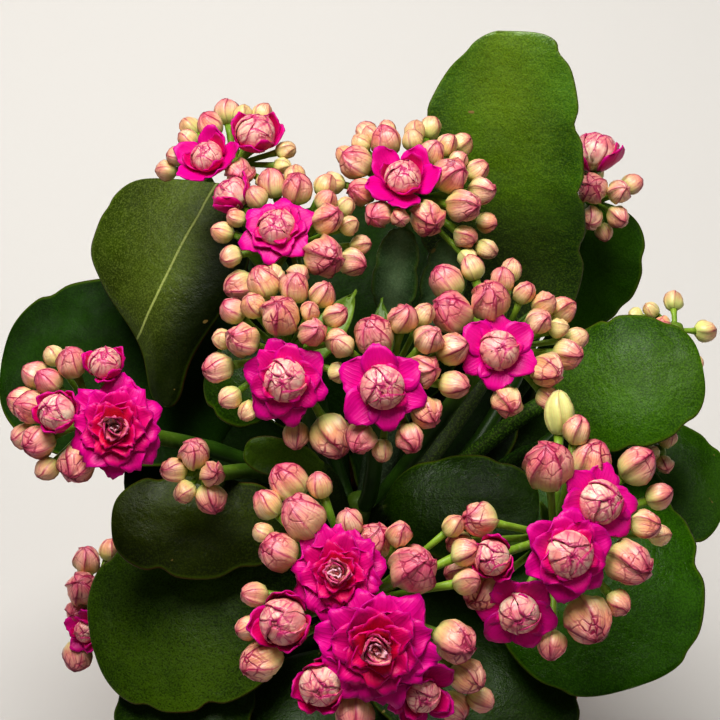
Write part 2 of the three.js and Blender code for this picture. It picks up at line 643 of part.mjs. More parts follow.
// The rings of an open bloom, in shares of its radius: how many petals, how far out their tips reach,
// how high the ring stands and how steep it is. The core is the ball of petals that are still closed.
function bloomForm(open) {
  if (open >= 1) {
    return {
      core: 0.3,
      rings: [
        { petals: 6, tip: 1, lift: 0.06, slope: 0.18 },
        { petals: 6, tip: 0.8, lift: 0.14, slope: 0.45 },
        { petals: 5, tip: 0.56, lift: 0.22, slope: 0.85 },
      ],
    };
  }
  if (open >= 0.7) {
    const outer = { petals: 6, tip: 1, lift: 0.06, slope: 0.2 };
    return { core: 0.42, rings: [outer, { petals: 5, tip: 0.8, lift: 0.14, slope: 0.5 }] };
  }
  return { core: 0.45, rings: [{ petals: 6, tip: 1, lift: 0.06, slope: 0.62 - 0.6 * open }] };
}

const coreRings = [[-0.1, 0.5], [0.55, 1], [1.35, 0.75]]; // height and radius, in shares of the core

// A cupped bloom's petals still hug its ball: a cup with a scalloped rim, and the ball inside it.
// Each ring has its height and radius in shares of the bloom's, its sides and its scallops' depth.
const cupRings = [[0.3, 0.62, 5, 0], [0.98, 0.9, 10, 0.34], [0.86, 0.7, 10, 0.1], [1.3, 0.42, 5, 0]];

function cuppedBloomGeometry(radius, grow) {
  const size = radius + grow;
  const rings = cupRings.map(([h, r, sides, scallop]) => [h * size - grow, r * size, sides, scallop * size]);
  return ringedGeometry(-grow, rings, 1.42 * size);
}

function makeBloom(head, bloom, grow) {
  const [, , diameter, open] = bloom;
  const radius = diameter / 2;
  const { axis } = flowerPlace(head, bloom);
  const foot = bloomFoot(head, bloom);
  const spin = 7 * foot.x + 3 * foot.y;
  if (open < tightBloom) return solidOf(stand(cuppedBloomGeometry(radius, grow), foot, axis, spin));
  const { core, rings } = bloomForm(open);
  const size = core * radius + grow;
  const ball = ringedGeometry(-0.3 * size, coreRings.map(([h, r]) => [h * size, r * size, 6]), 1.7 * size);
  const geometries = [ball];
  rings.forEach((ring, layer) => {
    geometries.push(petalRingGeometry({ ...ring, turn: 0.55 * layer, radius, grow }));
  });
  return fuse(geometries.map((geometry) => solidOf(stand(geometry, foot, axis, spin))));
}

// Stems

function makeStems(grow) {
  const main = new THREE.CylinderGeometry(
    stem.topRadius + grow, stem.bottomRadius + grow, stem.top - stem.bottom, stem.sides,
  );
  main.rotateX(Math.PI / 2).translate(0, 0, (stem.top + stem.bottom) / 2);
  const solids = [solidOf(main)];
  for (const head of heads) {
    const hub = hubOf(head);
    const lean = vector(head.lean).normalize();
    const end = hub.clone().addScaledVector(lean, -0.8 * ray.hubRadius);
    const start = new THREE.Vector3(0, 0, head.stalkFrom);
    const out = new THREE.Vector3(hub.x, hub.y, 0);
    const length = end.distanceTo(start);
    const reach = Math.min(stalk.outShare * length, 0.7 * out.length());
    const bendOut = head.stalkBy ? vector(head.stalkBy)
      : start.clone().addScaledVector(out.normalize(), reach).setZ(start.z + stalk.upShare * length);
    const bendUp = end.clone().addScaledVector(lean, -stalk.endShare * length);
    end.addScaledVector(lean, grow);
    const curve = new THREE.CubicBezierCurve3(start, bendOut, bendUp, end);
    solids.push(tube(curve, stalk.radius + grow, stalk.sides, stalk.steps));
  }
  return fuse(solids);
}

// Leaves

// Half width of the leaf's blade, from 0 at its base to PI at its tip, with a notch between scallops.
function bladeHalfWidth(leaf, phase) {
  const { baseRound = 1.05, tipRound = 0.7 } = leaf;
  const round = Math.sin(phase) ** (phase < Math.PI / 2 ? baseRound : tipRound);
  const scallop = 1 - blade.lobeDepth * Math.abs(Math.cos(leaf.lobes * phase)) ** 3;
  const least = phase < Math.PI / 2 ? blade.stalkHalfWidth : blade.tipHalfWidth;
  return Math.max((leaf.width / 2) * round * scallop, least);
}

function makeLeaf(leaf, grow) {
  const [root, base, tip] = [leaf.root, leaf.base, leaf.tip].map(vector);
  const face = vector(leaf.face).normalize();
  const middle = base.clone().lerp(tip, 0.5).addScaledVector(face, leaf.arch);
  const spine = new THREE.CatmullRomCurve3([root, base, middle, tip]);
  const row = (t, half, cup) => {
    const along = spine.getTangent(t);
    const side = new THREE.Vector3().crossVectors(along, face).normalize();
    const up = new THREE.Vector3().crossVectors(side, along).normalize();
    const past = t === 0 ? -grow : Math.floor(t) * grow;
    return {
      at: spine.getPoint(t).addScaledVector(along, past), side, up, half: half + grow, cup,
      thick: blade.halfThickness + grow, edge: blade.edgeHalfThickness + grow,
    };
  };
  const baseAt = 1 / 3;
  const rows = [0, 0.5].map((share) => row(share * baseAt, blade.stalkHalfWidth, 0));
  const steps = 3 * leaf.lobes;
  for (let i = 0; i <= steps; i += 1) {
    const phase = (Math.PI * i) / steps;
    const t = Math.min(baseAt + ((1 - baseAt) * (1 - Math.cos(phase))) / 2, 1);
    rows.push(row(t, bladeHalfWidth(leaf, phase), leaf.cup * Math.sin(phase)));
  }
  return solidOf(bladeGeometry(rows, [-1, 0, 1]));
}

// The whole object. A piece is cut back from each earlier one that it would touch.

const pieces = [
  { name: 'pot', colour: colours.clay, roughness: 0.9, make: makePot },
  { name: 'soil', colour: colours.soil, roughness: 1, make: makeSoil },
  { name: 'stems', colour: colours.stem, roughness: 0.55, make: makeStems },
];
for (const head of heads) {
  head.blooms.forEach((bloom, i) => pieces.push({
    name: `${head.name}_bloom_${i + 1}`, colour: colours.bloom, roughness: 0.6,
    make: (grow) => makeBloom(head, bloom, grow),
  }));
}
for (const head of heads) {
  pieces.push({
    name: head.name, colour: colours.head, roughness: 0.55, make: (grow) => makeHead(head, grow),
  });
}
for (const leaf of leaves) {
  pieces.push({
    name: leaf.name, colour: colours.leaf, roughness: 0.4, make: (grow) => makeLeaf(leaf, grow),
  });
}

function boxesMeet(a, b) {
  return [0, 1, 2].every((k) => a.min[k] <= b.max[k] && b.min[k] <= a.max[k]);
}

const plant = new THREE.Group();
const fixedPieces = ['pot', 'soil'];
const finished = []; // the finished pieces, each grown by the clearance
for (const piece of pieces) {
  let solid = piece.make(0);
  if (!fixedPieces.includes(piece.name)) {
    for (const wide of finished) {
      if (boxesMeet(solid.boundingBox(), wide.boundingBox())) solid = solid.subtract(wide);
    }
    solid = largestBody(solid);
    finished.push(piece.make(clearance));
  }
  const { vertProperties, triVerts } = solid.getMesh();
  const geometry = new THREE.BufferGeometry();
  geometry.setAttribute('position', new THREE.BufferAttribute(Float32Array.from(vertProperties), 3));
  geometry.setIndex(new THREE.BufferAttribute(Uint32Array.from(triVerts), 1));
  geometry.computeVertexNormals();
  const material = new THREE.MeshStandardMaterial({
    color: piece.colour, roughness: piece.roughness, metalness: 0, flatShading: true,
  });
  const mesh = new THREE.Mesh(geometry, material);
  mesh.name = piece.name;
  plant.add(mesh);
}

const outline = new THREE.Box3().setFromObject(plant);
plant.position.set(-(outline.min.x + outline.max.x) / 2, -(outline.min.y + outline.max.y) / 2, 0);

const object = new THREE.Group();
object.add(plant);

export default object;
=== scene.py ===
import math
import random

import bmesh
import bpy
from mathutils import Matrix, Quaternion, Vector, noise


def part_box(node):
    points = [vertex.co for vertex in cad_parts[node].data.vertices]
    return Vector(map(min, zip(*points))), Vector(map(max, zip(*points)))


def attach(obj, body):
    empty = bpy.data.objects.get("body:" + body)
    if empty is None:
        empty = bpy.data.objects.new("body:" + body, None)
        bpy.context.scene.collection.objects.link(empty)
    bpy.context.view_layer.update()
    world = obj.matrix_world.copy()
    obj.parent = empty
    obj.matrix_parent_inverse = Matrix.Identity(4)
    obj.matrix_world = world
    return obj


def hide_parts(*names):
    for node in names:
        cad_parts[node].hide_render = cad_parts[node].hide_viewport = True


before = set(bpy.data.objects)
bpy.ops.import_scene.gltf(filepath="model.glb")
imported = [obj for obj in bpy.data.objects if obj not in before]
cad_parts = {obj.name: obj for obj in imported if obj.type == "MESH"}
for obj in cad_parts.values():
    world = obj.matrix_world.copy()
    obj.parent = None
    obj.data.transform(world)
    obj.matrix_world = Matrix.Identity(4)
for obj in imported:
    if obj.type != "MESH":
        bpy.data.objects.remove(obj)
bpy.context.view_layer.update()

# A potted kalanchoe in bloom: leaves, heads of buds, double flowers, stems, pot and soil.
# The plant is laid out in millimetres round the pot's axis, and brought to the frame at the end
potLow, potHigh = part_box("pot")
potAxis = (potLow + potHigh) / 2
toFrame = Matrix.Translation((potAxis.x, potAxis.y, 0)) @ Matrix.Scale(0.001, 4)
frontUp = 52  # degrees above the horizon that the heads are laid out for, and the camera's too
acrossView = Vector((1, 0, 0))
upView = Vector((0, math.sin(math.radians(frontUp)), math.cos(math.radians(frontUp))))
toView = Vector((0, -math.cos(math.radians(frontUp)), math.sin(math.radians(frontUp))))


# A bloom or bud stands at (across, up) on its head as the camera sees it, with its diameter. A bloom
# adds how open it is, 1 for fully, and how far it stands out. stalkBy is a point that the stalk bends
# by, hidden a count of buds on the far side, longBud the number of the one long bud
heads = [
    {"name": "front_head", "at": (0.3, -43.7, 148), "lean": (0, -0.62, 0.79), "spread": 24, "rise": 12,
     "stalkFrom": 100,
     "blooms": ((-4.2, 5.8, 17, 1), (2.3, -6.5, 20.5, 1, 3), (-13, -2.5, 11, 0.35),
        (10.5, -15.6, 12, 0.45), (-6.8, -13.1, 10, 0.3),),
     "buds": ((8.6, 6.3, 8.2), (-10.2, 14.7, 7.4), (-12.6, 20.6, 6.5), (-7.2, 20.3, 4.4), (-16.1, 17, 5),
        (-1.6, 14.3, 4.6), (1.9, 11.9, 6.3), (6.3, 12.2, 4.4), (-14.2, 9.6, 6.5), (-16.5, 11.9, 3.6),
        (-18.2, 1.8, 4.4), (-19.2, -3.9, 4.4), (-16.3, -8, 7), (15.8, -6, 7.2), (18, -12.4, 6),
        (-1.4, -18.4, 6.4), (16.1, -18, 5.2), (20, -17, 4.5),)},
    {"name": "front_right_head", "at": (35.3, -31, 150), "lean": (0.35, -0.5, 0.79), "spread": 20,
     "longBud": 3, "rise": 11, "stalkFrom": 104,
     "blooms": ((6.3, 6.1, 15.5, 0.6), (-0.4, -2.6, 16.5, 0.75, 3), (-8, -13.1, 14.5, 0.6),
        (-12.6, -3.2, 8.5, 0.25),),
     "buds": ((-2.8, 12.3, 8.2), (5.6, 14.9, 7.2), (2.6, 17.7, 4.8), (-0.4, 20, 5), (13, 12, 6.4),
        (17, 6.7, 4.6), (14.4, 1.9, 5), (16.6, 0.2, 3.8), (11, -4.4, 7.7), (4.4, -13.7, 8),
        (8.8, -11.7, 4.5), (-2.1, -18.6, 5), (-14.4, 1.9, 6), (-18.2, -0.9, 4.4), (-17.9, -6.1, 4.6),
        (-15.4, -9.6, 6.5),)},
    {"name": "left_head", "at": (-48.5, -4.7, 150), "lean": (-0.4, -0.35, 0.85), "spread": 13.5,
     "rise": 9, "stalkFrom": 103, "stalkBy": (-20, 14, 121),
     "blooms": ((5.3, -2.1, 18, 1), (-4.7, 0.4, 9, 0.3), (3.3, 8.8, 8, 0.25),),
     "buds": ((-3, 9.3, 5.4), (-6.5, 10.5, 3.6), (-7, 6.1, 4.8), (-10.2, 1.4, 5.6), (-8.8, -4.7, 5.8),
        (-7.2, -9.6, 4.2), (-2.5, -9.1, 6.8),)},
    {"name": "left_sprig", "at": (-29.8, -6.9, 135), "lean": (-0.5, -0.5, 0.7), "spread": 5, "rise": 4,
     "stalkFrom": 98, "stalkBy": (-18, 14, 116),
     "blooms": (),
     "buds": ((0, 3.5, 5.5), (-3.7, 0, 4.6), (2.8, -0.4, 4.6), (-2.3, -2.6, 4.2), (2.6, -3.6, 5.5),)},
    {"name": "middle_left_head", "at": (-13.6, -1.7, 164.3), "lean": (-0.2, -0.45, 0.87), "spread": 14,
     "rise": 9, "stalkFrom": 112,
     "blooms": ((0.5, -4.9, 15.5, 0.8),),
     "buds": ((-0.2, 6.5, 7), (1.9, 11.2, 5.2), (5.1, 3.5, 4.8), (-5.1, 8, 4.4), (-7, 2.1, 5.8),
        (-3.3, 12.2, 5.6), (7, 10.1, 4.6), (2.4, -14.5, 4.7), (8.7, -14.5, 7.3),)},
    {"name": "middle_head", "at": (5.6, -7.9, 165), "lean": (0.15, -0.5, 0.85), "spread": 13, "rise": 9,
     "stalkFrom": 115,
     "blooms": ((-1.7, -1.6, 15.6, 0.6),),
     "buds": ((-3.5, 8, 7), (1.7, 10.2, 5.2), (5.4, 11, 4.2), (6.5, 6.5, 5), (6.4, 1.9, 5.6),
        (10.1, 5.2, 5.6), (6.4, -6.2, 5.4), (3, -10.3, 4.9), (-1.7, -12.6, 3.8), (-5.6, -10.4, 5.2),)},
    {"name": "back_head", "at": (8.9, 41.7, 158), "lean": (0.05, 0.05, 1), "spread": 15, "rise": 8,
     "stalkFrom": 108, "hidden": 3,
     "blooms": ((-1, 2, 13.5, 0.5),),
     "buds": ((-8.7, 8.2, 3.8), (-4, 9.1, 5.6), (0.7, 9.1, 3.8), (-9.4, 5.2, 6), (-13.8, 1.2, 4.2),
        (-9.1, 0.2, 5), (-5.8, -4.4, 5), (-1.6, -5.6, 3.5), (7.7, 2.4, 6.6), (3.7, -5, 6.5),
        (10, -3.3, 6.1), (13.5, -0.4, 5), (14.5, -6.1, 3.8), (10.5, -8.8, 4.4), (14.4, -11.2, 4),
        (10.9, -13, 3.6),)},
    {"name": "right_head", "at": (25.4, 1.8, 162), "lean": (0.3, -0.3, 0.9), "spread": 14, "rise": 9,
     "stalkFrom": 110, "stalkBy": (13, 11, 121), "hidden": 2,
     "blooms": ((-1, -0.9, 14, 0.6),),
     "buds": ((-9.4, 11.4, 6), (-8.9, 5.8, 7), (-2.6, 7.9, 7), (-0.3, 11.2, 4.4), (6, 4.2, 4.6),
        (7.6, -4.4, 6), (11.4, -1.3, 5.3), (0.3, -9.9, 5.4), (7.7, -9.3, 4.2), (-5.8, 13.5, 4.4),)},
    {"name": "back_left_head", "at": (-12.8, 27.9, 160), "lean": (-0.1, -0.1, 1), "spread": 13, "rise": 8,
     "stalkFrom": 107, "hidden": 3,
     "blooms": ((-2.3, 2.1, 14, 0.7), (-10.1, 7.6, 9, 0.3),),
     "buds": ((6.2, -3.5, 7.4), (6.8, 3.5, 5.6), (1.2, 9.2, 5.6), (10.8, 2.4, 3.6), (11.4, -4.2, 5),
        (12.8, -1.2, 3.8), (-10.7, -3.1, 4), (-12.2, 1.4, 4), (-9.1, -8.4, 5.4),)},
    {"name": "far_left_head", "at": (-24, 49.6, 158), "lean": (-0.15, 0.1, 1), "spread": 11.5, "rise": 6,
     "stalkFrom": 104, "hidden": 2,
     "blooms": ((-4.5, 0, 12, 0.5), (4.5, 3.6, 10, 0.3),),
     "buds": ((-4, 6, 4.8), (-12.2, -2.3, 3.8), (9.6, 1.2, 3.6), (9.6, -1.4, 3.2), (6.8, -5, 4.2),
        (1.7, -2.2, 5.5),)},
    {"name": "far_right_head", "at": (46.7, 59.5, 136), "lean": (0.4, 0.2, 0.9), "spread": 7, "rise": 6,
     "stalkFrom": 96, "stalkBy": (32, 23, 105), "hidden": 2,
     "blooms": ((-1.2, 7, 11.5, 0.4),),
     "buds": ((-1.9, 0.9, 6), (3.2, 0.3, 4.6), (-2.1, -4.7, 4.5), (3.2, -4.4, 4.4), (0.7, -7.2, 3.4),)},
    {"name": "right_back_sprig", "at": (61.2, 35.2, 125), "lean": (0.6, 0.2, 0.77), "spread": 7,
     "rise": 3, "stalkFrom": 92, "hidden": 2,
     "blooms": (),
     "buds": ((-8.4, 2.5, 2.8), (-5.4, 3.4, 3.2), (-3.4, 0.9, 3), (-1.6, -4.6, 3.2), (3.2, -6.8, 3.2),)},
    {"name": "right_sprig", "at": (56.7, 9.2, 120), "lean": (0.6, -0.3, 0.74), "spread": 4, "rise": 3,
     "stalkFrom": 86, "stalkBy": (27, 22, 96),
     "blooms": (),
     "buds": ((1.2, 2.6, 3.6), (-2.1, -0.2, 3.6), (0.7, -2.3, 3.4),)},
    {"name": "lower_left_head", "at": (-53, -5.5, 91), "lean": (-0.8, -0.2, 0.55), "spread": 11,
     "rise": 6, "stalkFrom": 79,
     "blooms": ((0.4, -5, 8.5, 0.5),),
     "buds": ((4.6, 10.2, 4), (0.7, 8.2, 5.2), (-0.2, 3, 6.2), (-2.7, -0.9, 4.6), (-1.3, -9.8, 5.6),)},
]
# A blade runs from base to tip with its upper side towards face, and its stalk from root to base.
# arch lifts its middle, cup its sides, and leafForm says what else may be set
leaves = [
    {"name": "tall_back_leaf", "root": (2.6, 2.4, 101), "base": (28.2, 40, 118), "tip": (26, 70, 171),
     "face": (-0.15, -0.8, 0.5), "width": 32.8, "arch": 3, "cup": 1.5, "lobes": 6, "notch": 0.08,
     "baseRound": 0.6, "tipRound": 0.36, "slantFrom": 1.75},
    {"name": "left_arching_leaf", "root": (-2.6, 2.4, 90), "base": (-30.6, 56.8, 143),
     "tip": (-37, 19.5, 120.5), "face": (-0.3, -0.5, 0.8), "width": 41.5, "arch": 4, "cup": -3,
     "lobes": 4, "notch": 0.02, "baseRound": 0.32, "taper": 0.68, "farHalf": 0.62, "turnsBack": True},
    {"name": "left_back_leaf", "root": (-3, 2, 84), "base": (-19, 33.5, 106), "tip": (-70.5, 38, 110),
     "face": (-0.1, -0.25, 0.95), "width": 40, "arch": 3, "cup": 1, "lobes": 4, "baseRound": 0.7},
    {"name": "right_leaf", "root": (3, 1.5, 102), "base": (34, 15, 127), "tip": (64, 17, 136),
     "face": (-0.1, -0.35, 0.93), "width": 26.5, "arch": 3, "cup": -1, "lobes": 4},
    {"name": "front_right_leaf", "root": (3.2, -0.5, 90), "base": (35, 13, 115), "tip": (50, -34, 105),
     "face": (0.05, -0.4, 0.92), "width": 42, "arch": 4, "cup": -1.5, "lobes": 5},
    {"name": "front_left_leaf", "root": (-2, -2.6, 84), "base": (-12, -13, 107),
     "tip": (-50.5, -20.5, 100), "face": (-0.1, -0.4, 0.9), "width": 37, "arch": 4, "cup": -1.5,
     "lobes": 4},
    {"name": "left_front_leaf", "root": (-2.9, -0.6, 98), "base": (-13, -7.5, 119),
     "tip": (-46, -9.5, 123), "face": (-0.1, -0.35, 0.92), "width": 21, "arch": 2, "cup": -1, "lobes": 3,
     "notch": 0.13},
    {"name": "far_right_leaf", "root": (3.3, 0.5, 78), "base": (44, 15, 104), "tip": (70.5, 9, 105),
     "face": (0.15, -0.25, 0.95), "width": 27, "arch": 3, "cup": -1, "lobes": 4},
    {"name": "right_back_leaf", "root": (2.2, 2.8, 86), "base": (40, 49, 108), "tip": (49.5, 63, 129),
     "face": (0, -0.7, 0.7), "width": 21.5, "arch": 2, "cup": 1, "lobes": 3},
    {"name": "lower_centre_leaf", "root": (2.4, -1.6, 106), "base": (5, -3, 119), "tip": (33, -8, 125),
     "face": (0, -0.3, 0.95), "width": 21, "arch": 2, "cup": -1, "lobes": 3},
    {"name": "small_middle_leaf", "root": (-2.5, -2, 112), "base": (-7.5, -8, 138),
     "tip": (-21, -6.5, 142), "face": (-0.1, -0.5, 0.86), "width": 7.5, "arch": 1, "cup": 0.8, "lobes": 2},
    {"name": "inner_left_leaf", "root": (-3.1, 0.9, 106), "base": (-13, 15, 128.5),
     "tip": (-28, 22.5, 131), "face": (-0.1, -0.4, 0.9), "width": 19, "arch": 2, "cup": -1, "lobes": 3},
    {"name": "young_leaf_left", "root": (0.8, 2.8, 112), "base": (6, 25, 139), "tip": (8, 34, 156),
     "face": (-0.2, -0.85, 0.5), "width": 8.7, "arch": 1.5, "cup": 1.5, "lobes": 5, "notch": 0.1,
     "baseRound": 1.2, "tipRound": 0.6, "tints": "young"},
    {"name": "young_leaf_right", "root": (2.2, 1.9, 111), "base": (13.5, 26, 139), "tip": (17, 34, 153),
     "face": (0.1, -0.8, 0.6), "width": 8.7, "arch": 1.5, "cup": 1.2, "lobes": 5, "notch": 0.1,
     "baseRound": 0.9, "tipRound": 0.6, "tints": "young"},
    {"name": "centre_back_leaf", "root": (0.8, 3.2, 80), "base": (6, 17, 88), "tip": (26, 62, 101),
     "face": (0, -0.3, 0.95), "width": 35, "arch": 3, "cup": 1, "lobes": 4, "tints": "shaded"},
    {"name": "bottom_left_leaf", "root": (-2.6, -2.6, 76), "base": (-22, -22, 94), "tip": (-43, -38, 88),
     "face": (-0.2, -0.3, 0.93), "width": 26, "arch": 3, "cup": -1, "lobes": 4},
    {"name": "left_leaf", "root": (-3.4, 0.6, 92), "base": (-13, 18, 103), "tip": (-46, 17, 99),
     "face": (-0.15, -0.2, 0.96), "width": 29, "arch": 2, "cup": -1, "lobes": 4, "tints": "shaded"},
    {"name": "front_centre_leaf", "root": (1.7, -3, 86), "base": (9, -6, 98), "tip": (32, -44.5, 93),
     "face": (0, -0.25, 0.97), "width": 38, "arch": 3, "cup": -1, "lobes": 4},
    {"name": "bottom_front_leaf", "root": (-0.6, -3.5, 76), "base": (-4, -16, 90), "tip": (-14, -54, 84),
     "face": (-0.1, -0.25, 0.97), "width": 30, "arch": 3, "cup": -1, "lobes": 4},
    {"name": "bottom_back_leaf", "root": (-0.8, 3.4, 82), "base": (-4, 29, 96), "tip": (-1, 73, 117),
     "face": (0, -0.3, 0.95), "width": 47, "arch": 3, "cup": -1, "lobes": 4, "tints": "shaded"},
    {"name": "bottom_right_leaf", "root": (2.8, 2.1, 72), "base": (11, 15, 84), "tip": (52, 42, 85),
     "face": (0.1, -0.05, 0.99), "width": 35, "arch": 3, "cup": -1, "lobes": 4},
]


def addObject(name, data):
    made = bpy.data.objects.new(name, data)
    bpy.context.scene.collection.objects.link(made)
    return made


# Brings a piece to the frame, and says which body it rides on and which nodes it replaces
def finishPiece(bm, name, nodes, materials):
    bmesh.ops.transform(bm, matrix=toFrame, verts=bm.verts)
    bmesh.ops.recalc_face_normals(bm, faces=bm.faces)
    mesh = bpy.data.meshes.new(name)
    bm.to_mesh(mesh)
    bm.free()
    for material in materials:
        mesh.materials.append(material)
    mesh.shade_smooth()
    piece = addObject(name, mesh)
    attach(piece, "root")
    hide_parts(*nodes)
    return piece


vertexTraits = ("tone", "rim", "fresh")  # what the materials read at each vertex
mergeWithin = 1e-4


def newMesh():
    bm = bmesh.new()
    bm.loops.layers.uv.new("petalMap")
    for trait in vertexTraits:
        bm.verts.layers.float.new(trait)
    return bm


def traitLayers(bm):
    return [bm.verts.layers.float[trait] for trait in vertexTraits]


def setTraits(vert, layers, values):
    for layer, value in zip(layers, values):
        vert[layer] = value


def facesOf(verts):
    return {face for vert in verts for face in vert.link_faces}


def setMaterial(verts, material):
    for face in facesOf(verts):
        face.material_index = material


def within(value):
    return max(0, min(1, value))


def seedOf(name):
    return sum(ord(letter) for letter in name)


# A closed tube or blade: a grid whose sides are joined, each point placed by a rule of turn and way
def wrapGrid(bm, around, along, place, values=None, material=0):
    made = bmesh.ops.create_grid(bm, x_segments=around, y_segments=along, size=1, calc_uvs=True)
    verts = made["verts"]
    setMaterial(verts, material)
    layers = traitLayers(bm)
    for vert in verts:
        turn, way = math.pi * (vert.co.x + 1), (vert.co.y + 1) / 2
        vert.co = place(turn, way)
        if values:
            setTraits(vert, layers, values(turn, way))
    bmesh.ops.remove_doubles(bm, verts=verts, dist=mergeWithin)
    verts = [vert for vert in verts if vert.is_valid]
    edges = {edge for vert in verts for edge in vert.link_edges if edge.is_boundary}
    for lid in bmesh.ops.holes_fill(bm, edges=list(edges), sides=0)["faces"]:
        lid.material_index = material
    return verts


def frameAlong(direction, hint):
    side = direction.cross(hint)
    if side.length < 1e-6:
        side = direction.orthogonal()
    side.normalize()
    return side, side.cross(direction).normalized()


def addTube(bm, points, radii, sides, tone=0.0, fresh=0.0, material=0):
    steps = len(points) - 1
    directions = [(points[min(i + 1, steps)] - points[max(i - 1, 0)]).normalized()
                  for i in range(steps + 1)]
    hint = directions[0].orthogonal()
    frames = []
    for direction in directions:
        frames.append(frameAlong(direction, hint))
        hint = frames[-1][1]

    def place(turn, way):
        i = round(way * steps)
        side, up = frames[i]
        return points[i] + (side * math.cos(turn) + up * math.sin(turn)) * radii[i]

    return wrapGrid(bm, sides, steps, place, lambda turn, way: (tone, 0, fresh), material)


def shade(code):
    channels = [int(code[i:i + 2], 16) / 255 for i in (0, 2, 4)]
    return tuple(c / 12.92 if c < 0.04045 else ((c + 0.055) / 1.055) ** 2.4 for c in channels) + (1,)


def newMaterial(name, sockets):
    material = bpy.data.materials.new(name)
    material.use_nodes = True
    shader = material.node_tree.nodes["Principled BSDF"]
    for key, value in sockets.items():
        shader.inputs[key].default_value = value
    return material, material.node_tree, shader


def link(tree, value, socket):
    if isinstance(value, bpy.types.NodeSocket):
        tree.links.new(value, socket)
    else:
        socket.default_value = value


def addNode(tree, kind, inputs, **settings):
    made = tree.nodes.new(kind)
    for key, value in settings.items():
        setattr(made, key, value)
    for key, value in inputs.items():
        link(tree, value, made.inputs[key])
    return made


def reckon(tree, operation, a, b=0.0, c=0.0, clamp=False):
    inputs = {0: a, 1: b, 2: c}
    return addNode(tree, "ShaderNodeMath", inputs, operation=operation, use_clamp=clamp).outputs[0]


def times(tree, a, b, clamp=False):
    return reckon(tree, "MULTIPLY", a, b, clamp=clamp)


def stretch(tree, value, low, high, outLow=0.0, outHigh=1.0):
    made = addNode(tree, "ShaderNodeMapRange", {"Value": value, "From Min": low, "From Max": high,
                   "To Min": outLow, "To Max": outHigh}, interpolation_type="SMOOTHSTEP")
    return made.outputs[0]


def mixColour(tree, factor, a, b):
    return addNode(tree, "ShaderNodeMix", {0: factor, 6: a, 7: b}, data_type="RGBA").outputs[2]


def tint(tree, colour, factor, code):
    return mixColour(tree, factor, colour, shade(code))


def cloud(tree, where, scale, detail=3.0, roughness=0.5, distortion=0.0):
    made = addNode(tree, "ShaderNodeTexNoise", {"Vector": where, "Scale": scale, "Detail": detail,
                   "Roughness": roughness, "Distortion": distortion})
    return made.outputs["Fac"]


# Soft spots: the part of a cloud between low and high
def spots(tree, where, scale, detail, low, high, outLow=0.0, outHigh=1.0):
    return stretch(tree, cloud(tree, where, scale, detail), low, high, outLow, outHigh)


def bump(tree, height, strength, distance, normal=None):
    inputs = {"Height": height, "Strength": strength, "Distance": distance}
    if normal is not None:
        inputs["Normal"] = normal
    return addNode(tree, "ShaderNodeBump", inputs).outputs["Normal"]


def objectPlace(tree):
    return addNode(tree, "ShaderNodeTexCoord", {}).outputs["Object"]


def ownMap(tree):
    uv = addNode(tree, "ShaderNodeUVMap", {}, uv_map="petalMap").outputs["UV"]
    split = addNode(tree, "ShaderNodeSeparateXYZ", {"Vector": uv})
    return split.outputs["X"], split.outputs["Y"]


def ownValue(tree, name):
    return addNode(tree, "ShaderNodeAttribute", {}, attribute_name=name).outputs["Fac"]


# notch is how deep the lobes' notches are, baseRound and tipRound how full the blade's ends are (less is
# fuller), taper how much it narrows to its tip, slantFrom where its left half starts to fall away,
# farHalf how wide that half is, and turnsBack a blade that hangs back over its own stalk
leafForm = {"along": 84, "around": 34, "stalkRows": 14, "stalkHalfWidth": 1.7, "stalkThickness": 1.25,
            "halfThickness": 1.0, "tipHalfWidth": 0.35, "baseAt": 1 / 3, "wave": 0.56, "swell": 0.245,
            "groove": 0.34, "grooveWidth": 1.1, "keel": 0.3, "keelWidth": 1.3, "notch": 0.065,
            "baseRound": 1.05, "tipRound": 0.7, "taper": 0, "taperFrom": 0.3, "taperOver": 0.55,
            "thinFrom": 2.6, "slantFrom": 9, "farHalf": 1, "turnsBack": False}

